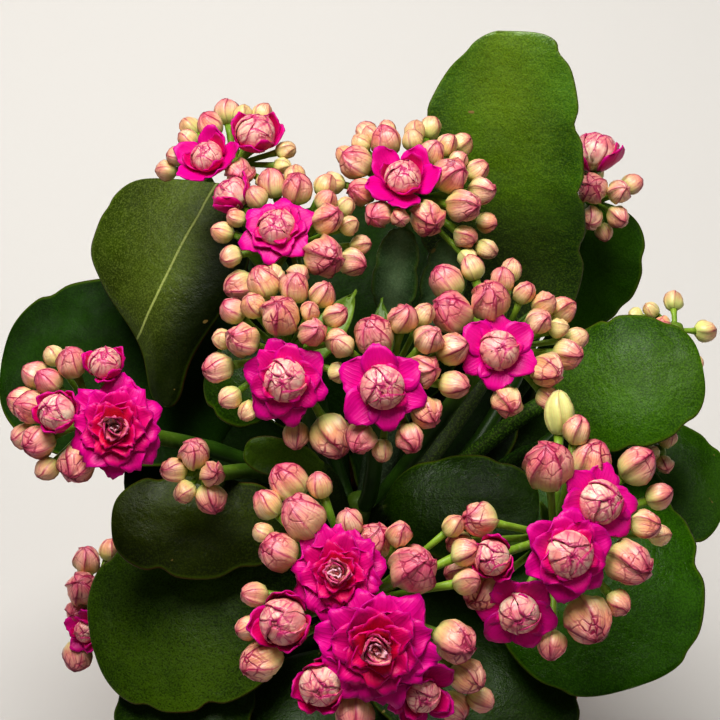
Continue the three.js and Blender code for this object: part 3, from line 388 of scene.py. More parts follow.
# dark and light are the two greens, glow the yellow-green that spreads from the midrib, midrib how
# pale it is, frost the grain of paler and darker cells, bronze the brown on the margin, and the
# foot shade how far painted shade darkens the blade's foot, which footTilt tilts to one side and shifts
leafTints = {
    "common": {"dark": "122400", "light": "223d00", "glow": "426206", "spread": 0.25, "midrib": 0.25,
               "frost": 0.3, "bronze": 0.5, "roughness": 0.36, "gloss": 0.14, "paintedFootShade": 0.0,
               "footTilt": (0.0, 0.0)},
    "shaded": {"dark": "081500", "light": "112600", "glow": "2a4a02", "spread": 0.2, "midrib": 0.1,
               "gloss": 0.05, "frost": 0.2, "bronze": 0.4, "roughness": 0.5},
    "left_back_leaf": {"dark": "0d2000", "light": "1a3800", "glow": "2e5004", "spread": 0.2,
                       "midrib": 0.1, "gloss": 0.05, "paintedFootShade": 0.5, "frost": 0.2, "bronze": 0.4,
                       "roughness": 0.5},
    "far_right_leaf": {"dark": "1e3c00", "light": "365e06", "glow": "507c10", "spread": 0.3,
                       "midrib": 0.15, "frost": 0.25, "bronze": 0.3, "roughness": 0.4},
    "right_back_leaf": {"dark": "1e3c00", "light": "325a02", "glow": "4c7808", "spread": 0.4,
                        "midrib": 0.15, "frost": 0.2, "bronze": 0.3, "roughness": 0.4},
    "tall_back_leaf": {"dark": "274a00", "light": "477208", "glow": "86a520", "spread": 0.75,
                       "midrib": 0.45, "gloss": 0.5, "paintedFootShade": 0.9, "footTilt": (0.16, -0.13),
                       "frost": 0.25, "bronze": 0.35, "roughness": 0.34},
    "left_arching_leaf": {"dark": "232e00", "light": "394a04", "glow": "768538", "spread": 0.5,
                          "midribFrom": (-29.5, 51, 143), "midribTo": (-43, 27, 131), "midrib": 0.9,
                          "bronze": 0.75, "roughness": 0.38},
    "right_leaf": {"dark": "203e00", "light": "386004", "glow": "5a8010", "spread": 0.35,
                   "midrib": 0.2, "paintedFootShade": 0.6, "frost": 0.35, "bronze": 0.4, "roughness": 0.42},
    "front_left_leaf": {"dark": "263c02", "light": "425a06", "glow": "45600e", "spread": 0.2,
                        "midrib": 0.15, "paintedFootShade": 0.8, "frost": 0.6, "bronze": 0.8, "roughness": 0.4},
    "front_right_leaf": {"dark": "1c3a00", "light": "305804", "glow": "46740c", "spread": 0.2,
                         "midrib": 0.15, "gloss": 0.11, "bronze": 0.35, "roughness": 0.3},
    "left_front_leaf": {"dark": "1c2500", "light": "303c02", "glow": "566604", "spread": 0.3,
                        "midrib": 0.2, "paintedFootShade": 0.8, "frost": 0.25, "bronze": 0.7},
    "small_middle_leaf": {"dark": "233a00", "light": "3a5606", "glow": "64801a", "spread": 0.4,
                          "midrib": 0.3, "frost": 0.2, "bronze": 0.6},
    "young": {"dark": "1c3a14", "light": "3e6230", "glow": "9ab488", "spread": 0.6, "midrib": 0.6,
              "gloss": 0.3, "frost": 0.12, "bronze": 0.2, "roughness": 0.3},
}


# the leaf's own marks, and two painted shades: a near-black green for stalks and feet, and one for a
# blade's dark half
leafShades = {"midrib": "a3ab62", "ageAndShade": "0d1a02", "darkCells": "0c1400", "paintedShadeHalf": "0c1600",
              "scars": "8d7442", "greenMargin": "607a18", "brownMargin": "4a1c10", "under": "4e6e20"}


def leafMaterial(name, tints):
    material, tree, shader = newMaterial(name, {
        "Roughness": tints["roughness"], "Specular IOR Level": tints["gloss"], "Subsurface Weight": 0.03,
        "Subsurface Radius": (0.0006, 0.0011, 0.0003)})
    place = objectPlace(tree)
    across, along = ownMap(tree)
    rim, under = ownValue(tree, "rim"), ownValue(tree, "fresh")
    # two greens in soft patches, and a yellow glow that spreads from the midrib
    patches = stretch(tree, cloud(tree, place, 55, 4, 0.6), 0.35, 0.68)
    colour = mixColour(tree, patches, shade(tints["dark"]), shade(tints["light"]))
    fromMidrib = ownValue(tree, "tone")
    glow = times(tree, stretch(tree, fromMidrib, 0.95, 0.0, 0.0, tints["spread"]),
                 cloud(tree, place, 38, 2))
    colour = tint(tree, colour, glow, tints["glow"])
    # side veins run outward and towards the tip, so they follow both directions of the blade
    wobble = times(tree, cloud(tree, place, 120, 2), 0.16)
    lean = reckon(tree, "SUBTRACT", along, times(tree, fromMidrib, 0.3))
    veinPlace = times(tree, reckon(tree, "ADD", lean, wobble), 44.0)
    veins = stretch(tree, reckon(tree, "SINE", veinPlace), 0.9, 1.0)
    veins = times(tree, veins, stretch(tree, fromMidrib, 0.85, 0.1, 0.0, 0.07))
    colour = tint(tree, colour, veins, tints["glow"])
    midrib = stretch(tree, fromMidrib, 0.04, 0.012)
    if "midribFrom" in tints:  # this blade lies turned, so its midrib runs aslant
        start, end = (toFrame @ Vector(tints[key]) for key in ("midribFrom", "midribTo"))
        flat = (end - start).cross(toView).normalized()
        offset = addNode(tree, "ShaderNodeVectorMath", {0: place, 1: start}, operation="SUBTRACT")
        aslant = addNode(tree, "ShaderNodeVectorMath", {0: offset.outputs[0], 1: flat},
                         operation="DOT_PRODUCT").outputs["Value"]
        uneven = spots(tree, place, 60, 1, 0.2, 0.8, -0.0006, 0.0006)
        away = reckon(tree, "ABSOLUTE", reckon(tree, "ADD", aslant, uneven))
        midrib = stretch(tree, away, 0.00032, 0.0001)
        midrib = times(tree, midrib, reckon(tree, "SUBTRACT", 1.0, under))
        # painted shade: the half of the blade past its slanted midrib is darkened towards near-black green
        paintedShadeHalf = stretch(tree, aslant, 0.0, -0.008, 0.0, 0.88)  # the half that lies in the dark
    midrib = times(tree, midrib, stretch(tree, along, 0.99, 0.6, tints["midrib"] * 0.3, tints["midrib"]))
    colour = tint(tree, colour, midrib, leafShades["midrib"])
    # painted shade: the stalk and the foot of the blade, in the shade under the heads, are darkened
    toRight = reckon(tree, "COSINE", times(tree, across, 2 * math.pi))
    tilt, shift = tints["footTilt"]
    lowPlace = reckon(tree, "MULTIPLY_ADD", toRight, tilt, reckon(tree, "ADD", along, shift))
    ageAndShade = reckon(tree, "MAXIMUM", stretch(tree, along, 0.22, 0.15, 0.0, 0.85),
                 stretch(tree, lowPlace, 0.6, 0.22, 0.0, tints["paintedFootShade"]))
    colour = tint(tree, colour, ageAndShade, leafShades["ageAndShade"])
    # fine cell grain, small tan scars, and the margin's green and red-brown lines
    grain = cloud(tree, place, 2900, 2, 0.6)
    lightCells = stretch(tree, grain, 0.45, 0.68, 0.0, tints["frost"])
    colour = tint(tree, colour, lightCells, tints["glow"])
    darkCells = stretch(tree, grain, 0.5, 0.32, 0.0, tints["frost"])
    colour = tint(tree, colour, darkCells, leafShades["darkCells"])
    if "midribFrom" in tints:
        # the painted shade on the half past the midrib
        colour = tint(tree, colour, paintedShadeHalf, leafShades["paintedShadeHalf"])
    colour = tint(tree, colour, spots(tree, place, 330, 1, 0.78, 0.8), leafShades["scars"])
    pale = times(tree, stretch(tree, rim, 0.9, 0.3), 0.3)
    colour = tint(tree, colour, pale, leafShades["greenMargin"])
    brown = times(tree, stretch(tree, rim, 0.42, 0.1),
                  spots(tree, place, 90, 2, 0.3, 0.6, 0.3, tints["bronze"]))
    colour = tint(tree, colour, brown, leafShades["brownMargin"])
    under = times(tree, under, reckon(tree, "SUBTRACT", 0.5, ageAndShade), clamp=True)
    colour = tint(tree, colour, under, leafShades["under"])
    link(tree, colour, shader.inputs["Base Color"])
    rough = spots(tree, place, 210, 3, 0.3, 0.7, tints["roughness"] - 0.06, tints["roughness"] + 0.14)
    rough = reckon(tree, "MULTIPLY_ADD", ageAndShade, 0.4, rough)
    link(tree, rough, shader.inputs["Roughness"])
    swell = bump(tree, cloud(tree, place, 170, 3), 0.35, 0.0006)
    swell = bump(tree, reckon(tree, "ADD", veins, midrib), 0.4, 0.0003, swell)
    swell = bump(tree, cloud(tree, place, 620, 2), 0.45, 0.0004, swell)
    link(tree, bump(tree, grain, 0.5, 0.00016, swell), shader.inputs["Normal"])
    return material


# The same spine as the solid's: a smooth curve through four points
def spinePoint(points, t):
    last = len(points) - 1
    place = last * t
    index = min(int(place), last - 1)
    weight = place - index
    p1, p2 = points[index], points[index + 1]
    p0 = points[index - 1] if index > 0 else p1 * 2 - p2
    p3 = points[index + 2] if index + 2 <= last else p2 * 2 - p1
    d0, d1, d2 = (max((b - a).length, 1e-9) ** 0.5 for a, b in ((p0, p1), (p1, p2), (p2, p3)))
    start = ((p1 - p0) / d0 - (p2 - p0) / (d0 + d1) + (p2 - p1) / d1) * d1
    end = ((p2 - p1) / d1 - (p3 - p1) / (d1 + d2) + (p3 - p2) / d2) * d1
    c2 = p1 * -3 + p2 * 3 - start * 2 - end
    c3 = p1 * 2 - p2 * 2 + start + end
    return p1 + start * weight + c2 * weight ** 2 + c3 * weight ** 3


def bezier(bend, s):
    a, b, c, d = bend
    at = a * (1 - s) ** 3 + b * 3 * s * (1 - s) ** 2 + c * 3 * s * s * (1 - s) + d * s ** 3
    return at, ((b - a) * (1 - s) ** 2 + (c - b) * 2 * s * (1 - s) + (d - c) * s * s).normalized()


def makeLeaf(leaf):
    leaf = {**leafForm, **leaf}
    name, seed = leaf["name"], seedOf(leaf["name"])
    root, base, tip = (Vector(leaf[key]) for key in ("root", "base", "tip"))
    face = Vector(leaf["face"]).normalized()
    spine = [root, base, (base + tip) / 2 + face * leaf["arch"], tip]
    along = (tip - base).normalized()
    bend = (root, root.lerp(base, 0.6), base - along * 6 - face * 3, base)
    baseAt, stalkRows, slant = leaf["baseAt"], leaf["stalkRows"], leaf["slantFrom"]
    rows = []
    # phase runs over the blade, from 0 at its base to pi at its tip
    for i in range(leaf["along"], -1, -1):
        inStalk = i < stalkRows
        phase = max(math.pi * (i - stalkRows) / (leaf["along"] - stalkRows), 0)
        share = (1 - math.cos(phase)) / 2
        if not leaf["turnsBack"]:
            t = min(baseAt * i / stalkRows if inStalk else baseAt + (1 - baseAt) * share, 1)
            at = spinePoint(spine, t)
            tangent = spinePoint(spine, min(t + 0.002, 1)) - spinePoint(spine, max(t - 0.002, 0))
            tangent.normalize()
        elif inStalk:  # the stalk bends round to meet the blade
            at, tangent = bezier(bend, i / stalkRows)
        else:
            at = base.lerp(tip, share) + face * leaf["arch"] * 4 * share * (1 - share)
            tangent = along
        if leaf["turnsBack"] and inStalk:
            side = (side - tangent * side.dot(tangent)).normalized()
        else:
            side = tangent.cross(face).normalized()
        up = side.cross(tangent).normalized()
        early = phase < math.pi / 2
        lobes = abs(math.cos(leaf["lobes"] * (phase + 0.09 * math.sin(3 * phase + seed)))) ** 9
        width = leaf["width"] / 2 * max(math.sin(phase), 0) ** leaf["baseRound" if early else "tipRound"]
        width *= 1 - leaf["notch"] * lobes
        late = within((share - leaf["taperFrom"]) / leaf["taperOver"])
        width *= 1 - leaf["taper"] * late * late * (3 - 2 * late)
        least = leaf["stalkHalfWidth" if early else "tipHalfWidth"]
        left = 1 - 0.95 * ((phase - slant) / (math.pi - slant)) ** 1.5 if phase > slant else 1
        thick = leaf["halfThickness"] * (leaf["stalkThickness"] if inStalk else 1)
        if phase >= leaf["thinFrom"]:
            thick *= max(math.sin(phase) / math.sin(leaf["thinFrom"]), 0.25) ** 0.5
        rows.append((at, side, up, max(width, least), thick, phase, left * leaf["farHalf"]))
    rows.reverse()

    def place(turn, way):
        at, side, up, half, thick, phase, left = rows[round(way * leaf["along"])]
        across, rounding = math.cos(turn), math.sin(turn)
        narrow = left if across < 0 else 1
        blade = math.sin(phase) if phase > 0 else 0
        lift = leaf["cup"] * across ** 2 * blade
        # the blade waves gently, dips along its midrib and swells between the scallops' notches
        wave = noise.noise(Vector((phase * 1.3 + seed, across * 1.7, seed * 0.37)))
        lift += leaf["wave"] * wave * blade
        lift += leaf["swell"] * math.cos(2 * leaf["lobes"] * phase) * across ** 4 * blade
        if rounding > 0:
            lift -= leaf["groove"] * math.exp(-(across * half / leaf["grooveWidth"]) ** 2) * blade ** 0.5
        elif rounding < 0:
            lift -= leaf["keel"] * math.exp(-(across * half / leaf["keelWidth"]) ** 2) * blade
        if half > 3:
            rounding = math.copysign(abs(rounding) ** 0.75, rounding) * (0.62 + 0.38 * (1 - across ** 2))
        return at + side * across * half * narrow + up * (lift + rounding * thick)

    def values(turn, way):
        half, phase = (rows[round(way * leaf["along"])][k] for k in (3, 5))
        across = abs(math.cos(turn))
        toMargin = half * (1 - across) if phase > 0.12 else 9
        return across * half * 2 / leaf["width"], toMargin, math.sin(turn) < -0.01

    bm = newMesh()
    wrapGrid(bm, leaf["around"], leaf["along"], place, values)
    own = leafTints.get(leaf.get("tints", name), {})
    material = leafMaterial(name + "_green", {**leafTints["common"], **own})
    finishPiece(bm, name + "_blade", [name], [material])


for leaf in leaves:
    makeLeaf(leaf)
print("leaves:", len(leaves))


tightBloom = 0.45  # less open than this, a bloom is a cup of petals round its ball
bloomFootDepth = 0.22  # how far a bloom's foot lies under its middle, in shares of its diameter


def leanOf(head):
    return Vector(head["lean"]).normalized()


def hubOf(head):
    return Vector(head["at"]) - leanOf(head) * 0.35 * head["rise"]


# A flower's middle and axis: it lies on the head's dome, where it is seen from the front and above
def flowerPlace(head, flower):
    lean = leanOf(head)
    flat = acrossView * flower[0] + upView * flower[1]
    spread, rise = head["spread"], head["rise"]
    squash = 1 / rise ** 2 - 1 / spread ** 2
    flatLean, viewLean = flat.dot(lean), toView.dot(lean)
    a = squash * viewLean ** 2 + 1 / spread ** 2
    b = 2 * squash * flatLean * viewLean
    c = squash * flatLean ** 2 + flat.length_squared / spread ** 2 - 1
    depth = (-b + math.sqrt(max(b * b - 4 * a * c, 0))) / (2 * a)
    offset = flat + toView * depth
    outward = (lean * squash * offset.dot(lean) + offset / spread ** 2).normalized()
    return Vector(head["at"]) + offset, outward.lerp(lean, 0.25).normalized()


def bloomFoot(head, bloom):
    middle, axis = flowerPlace(head, bloom)
    standOut = bloom[4] if len(bloom) > 4 else 0
    return middle + axis * (standOut - bloomFootDepth * bloom[2])


# Buds on the head's far side, spaced by the golden angle
def hiddenBuds(head):
    lean = leanOf(head)
    sideways = toView.cross(lean).normalized()
    away = sideways.cross(lean).normalized()
    if away.dot(toView) > 0:
        away.negate()
    goldenAngle = math.pi * (3 - math.sqrt(5))
    found, i = [], 0
    while len(found) < head.get("hidden", 0):
        angle = i * goldenAngle
        if math.sin(angle) >= 0.15:
            reach = 0.62 + 0.36 * ((i * 0.618) % 1)
            offset = (sideways * math.cos(angle) + away * math.sin(angle)) * reach * head["spread"]
            offset += lean * math.sqrt(1 - reach ** 2) * head["rise"]
            axis = offset.normalized().lerp(lean, 0.3).normalized()
            found.append([Vector(head["at"]) + offset, axis, 2.9 - reach])
        i += 1
    return found


# Moves a bud that would touch an open bloom down from its petals, or aside from a cupped one
def clearOfBlooms(head, bud):
    middle, axis, radius = bud
    mostSink = 5
    for bloom in head["blooms"]:
        foot, bloomAxis = bloomFoot(head, bloom), flowerPlace(head, bloom)[1]
        bloomRadius = bloom[2] / 2
        if bloom[3] < tightBloom:
            away = middle - (foot + bloomAxis * 0.65 * bloomRadius)  # from the middle of its ball
            short = 0.95 * bloomRadius + radius - away.length
            if short > 0:
                middle += away.normalized() * min(short, 0.5 * mostSink)
            continue
        offset = middle - foot
        height = offset.dot(bloomAxis)
        reach = (offset - bloomAxis * height).length
        if reach > bloomRadius + 0.6 * radius:
            continue
        under = 0.12 * bloomRadius + max(reach - 0.4 * bloomRadius, 0) * 0.2
        sink = height + radius - under
        if sink > 0:
            middle -= axis * min(sink, mostSink)


gapBudCounts = {"back_head": 8, "back_left_head": 7, "middle_left_head": 9, "far_left_head": 5,
                "right_head": 4, "middle_head": 3, "left_head": 3, "front_head": 3}


gapForm = {"tries": 900, "radius": (1.7, 2.6), "reach": 0.9, "sunk": 0.97, "overlap": 0.93, "upTo": 0.6}


# Small buds that fill the gaps between the big ones, a little lower on the dome
def gapBuds(head, taken):
    rng = random.Random(len(head["name"]) * 31 + len(taken))
    spread, lean = head["spread"], leanOf(head)
    sideways, upward = frameAlong(lean, toView)
    found = []
    for _ in range(gapForm["tries"]):
        if len(found) >= gapBudCounts.get(head["name"], 0):
            break
        radius = rng.uniform(*gapForm["radius"])
        reach = math.sqrt(rng.uniform(0.02, 1)) * gapForm["reach"]
        angle = rng.uniform(0, 2 * math.pi)
        offset = (sideways * math.cos(angle) + upward * math.sin(angle)) * reach * spread
        if offset.dot(upView) > gapForm["upTo"] * spread:
            continue
        offset += lean * math.sqrt(1 - reach ** 2) * head["rise"]
        middle = Vector(head["at"]) + offset * gapForm["sunk"]
        axis = offset.normalized().lerp(lean, 0.3).normalized()
        if any((middle - other[0]).length < gapForm["overlap"] * (radius + other[2])
               for other in taken + found):
            continue
        for bloom in head["blooms"]:
            away, bloomAxis = middle - bloomFoot(head, bloom), flowerPlace(head, bloom)[1]
            height = away.dot(bloomAxis)
            side = (away - bloomAxis * height).length
            if side < bloom[2] / 2 + radius * 0.7 and height > -radius * 1.2:
                break
        else:
            found.append([middle, axis, radius])
    return found


# The buds press against each other without running into each other
def settledBuds(head):
    buds = [[*flowerPlace(head, flower), flower[2] / 2] for flower in head["buds"]]
    buds += hiddenBuds(head)
    for bud in buds:
        clearOfBlooms(head, bud)
    buds += gapBuds(head, buds)
    for _ in range(12):
        for i, one in enumerate(buds):
            for other in buds[i + 1:]:
                apart = other[0] - one[0]
                short = one[2] + other[2] - apart.length
                if short > 0:
                    apart = apart.normalized() * short / 2
                    one[0] -= apart
                    other[0] += apart
    return buds


# The directions out from a flower's axis and round it, for a petal turned by spin
def turnedOut(axis, spin):
    first, _ = frameAlong(axis, Vector((0.31, 0.17, 0.93)))
    out = Quaternion(axis, spin) @ first
    return out, axis.cross(out)


# A petal runs from its foot outward: start and end are its rise in degrees at both ends, wrap how
# far it curls round the flower's axis, cup how far its sides stand up, wave its ruffles, blunt how
# far its corners stand back from its tip, and ragged how uneven its margin is
petalForm = {"columns": 8, "rows": 7, "rootShare": 0.35, "widest": 0.6, "tipShare": 0.62, "wave": 0.03,
             "wrap": 0.2, "ragged": 0.0, "blunt": 0.2, "cup": 0.1, "fromHeight": 0, "tone": 0, "fresh": 0,
             "material": 0}


def addPetal(bm, foot, axis, spin, petal, rng):
    petal = {**petalForm, **petal}
    out, over = turnedOut(axis, spin)
    root, widest, tip = petal["rootShare"], petal["widest"], petal["tipShare"]
    length, width, wave, wrap, ragged = (petal[k] for k in ("length", "width", "wave", "wrap", "ragged"))
    steps = 24
    path, reach, height = [], petal["from"], petal["fromHeight"]
    for i in range(steps + 3):
        path.append((reach, height))
        rise = math.radians(petal["start"] + (petal["end"] - petal["start"]) * i / steps)
        reach += math.cos(rise) * length / steps
        height += math.sin(rise) * length / steps
    phase, sway = rng.uniform(0, 6.28), rng.uniform(-0.08, 0.08)
    verts = bmesh.ops.create_grid(bm, x_segments=petal["columns"], y_segments=petal["rows"], size=1,
                                  calc_uvs=True)["verts"]
    layers = traitLayers(bm)
    for vert in verts:
        v, s = vert.co.x, (vert.co.y + 1) / 2
        if s < widest:
            share = root + (1 - root) * math.sin(math.pi / 2 * s / widest) ** 1.1
        else:
            t = (s - widest) / (1 - widest)
            share = 1 - (1 - tip) * t * t
        uneven = noise.noise(Vector((v * 2.4 + phase, s * 2.2, phase)))
        half = width / 2 * share * (1 + ragged * 1.2 * uneven * s)
        along = s - petal["blunt"] * abs(v) ** 2.2 * s ** 3
        along += ragged * noise.noise(Vector((v * 3.7, phase * 2.1, 4.4))) * s ** 4
        at = min(max(along * steps, 0), steps + 1.9)
        low = int(at)
        r = path[low][0] + (path[low + 1][0] - path[low][0]) * (at - low)
        h = path[low][1] + (path[low + 1][1] - path[low][1]) * (at - low)
        rise = math.radians(petal["start"] + (petal["end"] - petal["start"]) * s)
        lift = petal["cup"] * width * (abs(v) ** 1.7) * share
        lift += wave * width * abs(v) ** 1.3 * s * math.sin(8.5 * s + phase + 2.2 * v)
        lift += wave * 0.9 * width * s ** 3 * math.sin(5.2 * v + phase * 1.7)
        r -= math.sin(rise) * lift
        h += math.cos(rise) * lift
        curl = wrap * v * half / max(r, 0.3 * width)
        aside = (1 - wrap) * v * half + sway * width * s * s
        vert.co = foot + axis * h + (out * math.cos(curl) + over * math.sin(curl)) * r + over * aside
        setTraits(vert, layers, (petal["tone"], 0, petal["fresh"]))
    setMaterial(verts, petal["material"])


# A petal that still lies wrapped over a ball: it crosses the ball from its foot to near or past the
# top, and one side lies over its neighbour
shellForm = {"columns": 8, "rows": 9, "lap": 0.045, "flare": 0.03, "folds": 0.25, "material": 1}


def addShell(bm, foot, axis, spin, shell, rng):
    shell = {**shellForm, **shell}
    out, over = turnedOut(axis, spin)
    lean = Quaternion(over, rng.uniform(-0.1, 0.1)) @ Quaternion(out, rng.uniform(-0.16, 0.16))
    radius, tall = shell["radius"], shell["height"] / 2
    low, high = (math.radians(shell[key]) for key in ("start", "end"))
    phase = rng.uniform(0, 6.28)
    verts = bmesh.ops.create_grid(bm, x_segments=shell["columns"], y_segments=shell["rows"], size=1,
                                  calc_uvs=True)["verts"]
    layers = traitLayers(bm)
    for vert in verts:
        v, s = vert.co.x, (vert.co.y + 1) / 2
        share = 0.45 + 0.55 * math.sin(math.pi / 2 * min(s / 0.5, 1))
        share *= 1 if s < 0.55 else 1 - 0.55 * ((s - 0.55) / 0.45) ** 2
        uneven = noise.noise(Vector((v * 2 + phase, s * 2.5, phase)))
        polar = low + (high - low) * (s - 0.13 * abs(v) ** 2 * s ** 2 + 0.05 * uneven * s ** 3)
        turn = v * math.radians(shell["width"]) / 2 * share * (1 + 0.12 * uneven)
        inward = math.cos(turn)
        flat = Vector((math.sin(polar) * inward, math.sin(turn), -math.cos(polar) * inward))
        size = shell["layer"] + shell["lap"] * v + 0.03 * noise.noise(Vector((v * 1.7, s * 2.9, phase)))
        size += shell["flare"] * (s ** 3 + 0.6 * abs(v) ** 3)
        spot = out * (flat.x * radius) + over * (flat.y * radius) + axis * (flat.z * tall)
        vert.co = foot + axis * tall + lean @ (spot * size)
        setTraits(vert, layers, (shell["tone"], shell["folds"], 0))
    setMaterial(verts, shell["material"])


# A bud: a ball whose steps are the petals' free edges, which cross over its top. shares are a petal's
# points round the ball, hand the way that the petals twist, fullness how wide the ball is near its
# ends (less is fuller), and peak the point on top
ballForm = {"rings": 8, "shares": (0, 0.07, 0.4, 0.72), "hand": 1, "fullness": 0.9, "peak": 0.05,
            "tone": 0, "folds": 0, "fresh": 0, "material": 0}


def addBud(bm, foot, axis, ball, rng):
    ball = {**ballForm, **ball}
    petals, shares, radius, ridge = (ball[key] for key in ("petals", "shares", "radius", "ridge"))
    around = petals * len(shares)
    out, _ = frameAlong(axis, Vector((0.2, 0.9, 0.3)))
    over = axis.cross(out)
    spin = rng.uniform(0, 6.28)
    starts = [(i + rng.uniform(-0.17, 0.17)) / petals for i in range(petals)]
    starts.append(starts[0] + 1)
    meander = [rng.uniform(-0.2, 0.2) for _ in range(petals)]
    meander.append(meander[0])
    twist = ball["hand"] * ball["twist"] * rng.uniform(0.7, 1.3)
    tiltX, tiltY = rng.uniform(-0.14, 0.14), rng.uniform(-0.14, 0.14)
    lump = rng.uniform(0, 50)

    def place(turn, way):
        k = round(turn / (2 * math.pi) * around) % around
        one, part = divmod(k, len(shares))
        polar = max(math.pi * 0.995 * way, 0.05)
        bend = math.sin(math.pi * min(way * 1.05, 1)) * way
        first = starts[one] + meander[one] * 0.3 * bend
        second = starts[one + 1] + meander[one + 1] * 0.3 * bend
        share = first + (second - first) * shares[part]
        angle = 2 * math.pi * share + twist * way ** 3.2 + spin
        sunk = (shares[part] if part else 1.1) - 0.55
        wide = math.sin(polar) ** ball["fullness"]
        wide *= 1 + ridge * sunk * math.sin(math.pi * min(way * 1.03, 1)) ** 0.5
        x, y = math.cos(angle), math.sin(angle)
        wide *= 1 + 0.06 * noise.noise(Vector((x, y, way * 3 - lump)) * 2.6)
        wide *= 1 + 0.14 * noise.noise(Vector((x, y, way * 2 + lump)) * 1.2)
        rise = ball["height"] * (1 - math.cos(polar)) * 0.5 * (1 + 0.35 * ridge * sunk * way ** 3)
        rise += ball["peak"] * radius * max(way - 0.8, 0) * 5
        aside = (out * tiltX + over * tiltY) * radius * way ** 2
        return foot + aside + axis * rise + (out * x + over * y) * wide * radius

    traits = ball["tone"], ball["folds"], ball["fresh"]
    verts = wrapGrid(bm, around, ball["rings"], place, lambda turn, way: traits, ball["material"])
    # the map across each petal runs from 0 to 1, however its points are spread
    uvLayer = bm.loops.layers.uv["petalMap"]
    ends = list(shares) + [1.0]
    for face in facesOf(verts):
        lanes = [loop[uvLayer].uv.x for loop in face.loops]
        if max(lanes) - min(lanes) > 0.5 or len(lanes) > 4:  # the seam and the lids
            continue
        one = int(sum(lanes) / len(lanes) * around // len(shares))
        for loop in face.loops:
            part = loop[uvLayer].uv.x * around - one * len(shares)
            low = min(int(part + 1e-3), len(shares) - 1)
            loop[uvLayer].uv.x = ends[low] + (ends[low + 1] - ends[low]) * max(part - low, 0)


petalLook = {"outer": "de008c", "inner": "d80044", "deep": "9c0052", "margin": "b00090",
             "middle": "f6cfcb", "foot": "e0559b"}


def petalMaterial():
    material, tree, shader = newMaterial("petal_magenta", {
        "Roughness": 0.42, "Specular IOR Level": 0.22, "Subsurface Weight": 0.05,
        "Subsurface Radius": (0.0012, 0.0002, 0.0006), "Sheen Weight": 0.04, "Sheen Roughness": 0.4})
    place = objectPlace(tree)
    across, along = ownMap(tree)
    tone, pale = ownValue(tree, "tone"), ownValue(tree, "fresh")
    colour = mixColour(tree, tone, shade(petalLook["outer"]), shade(petalLook["inner"]))
    patches = spots(tree, place, 260, 3, 0.3, 0.75, 0.0, 0.4)
    colour = tint(tree, colour, patches, petalLook["deep"])
    # fine veins fan out from the petal's foot
    fan = reckon(tree, "SUBTRACT", across, 0.5)
    fan = reckon(tree, "DIVIDE", fan, stretch(tree, along, 0.0, 0.6, 0.5, 1.0))
    fan = reckon(tree, "ADD", fan, times(tree, cloud(tree, place, 420, 2), 0.07))
    veins = stretch(tree, reckon(tree, "SINE", times(tree, fan, 62.0)), 0.35, 1.0)
    veinShare = times(tree, veins, stretch(tree, along, 1.0, 0.3, 0.03, 0.2))
    colour = tint(tree, colour, veinShare, petalLook["deep"])
    colour = tint(tree, colour, stretch(tree, along, 0.3, 0.0, 0.0, 0.5), petalLook["foot"])
    # the innermost petals are cream and pink, with magenta edges
    paleShare = times(tree, pale, spots(tree, place, 300, 2, 0.2, 0.6, 0.55, 1))
    colour = tint(tree, colour, paleShare, petalLook["middle"])
    edge = reckon(tree, "MAXIMUM", stretch(tree, along, 0.9, 1.0), stretch(
        tree, reckon(tree, "ABSOLUTE", reckon(tree, "SUBTRACT", across, 0.5)), 0.4, 0.5))
    colour = tint(tree, colour, times(tree, edge, 0.35), petalLook["margin"])
    link(tree, colour, shader.inputs["Base Color"])
    crinkle = bump(tree, cloud(tree, place, 520, 3), 0.35, 0.0003)
    link(tree, bump(tree, veins, 0.25, 0.00012, crinkle), shader.inputs["Normal"])
    return material


budLook = {"peach": ("eeaa7a", "f9ceaa"), "pink": ("dd747e", "eda295"), "ball": ("ec9f88", "f7cdb0"),
           "ballPink": ("d96c80", "ee9c98"), "cream": "f8e8c8", "green": "cdd47c",
           "youngGreen": "dbe08a", "vein": "c42c6c", "edge": "980e44", "creamEdge": "bb2a68",
           "paintedCreaseShade": "701436", "flush": "d04c74"}


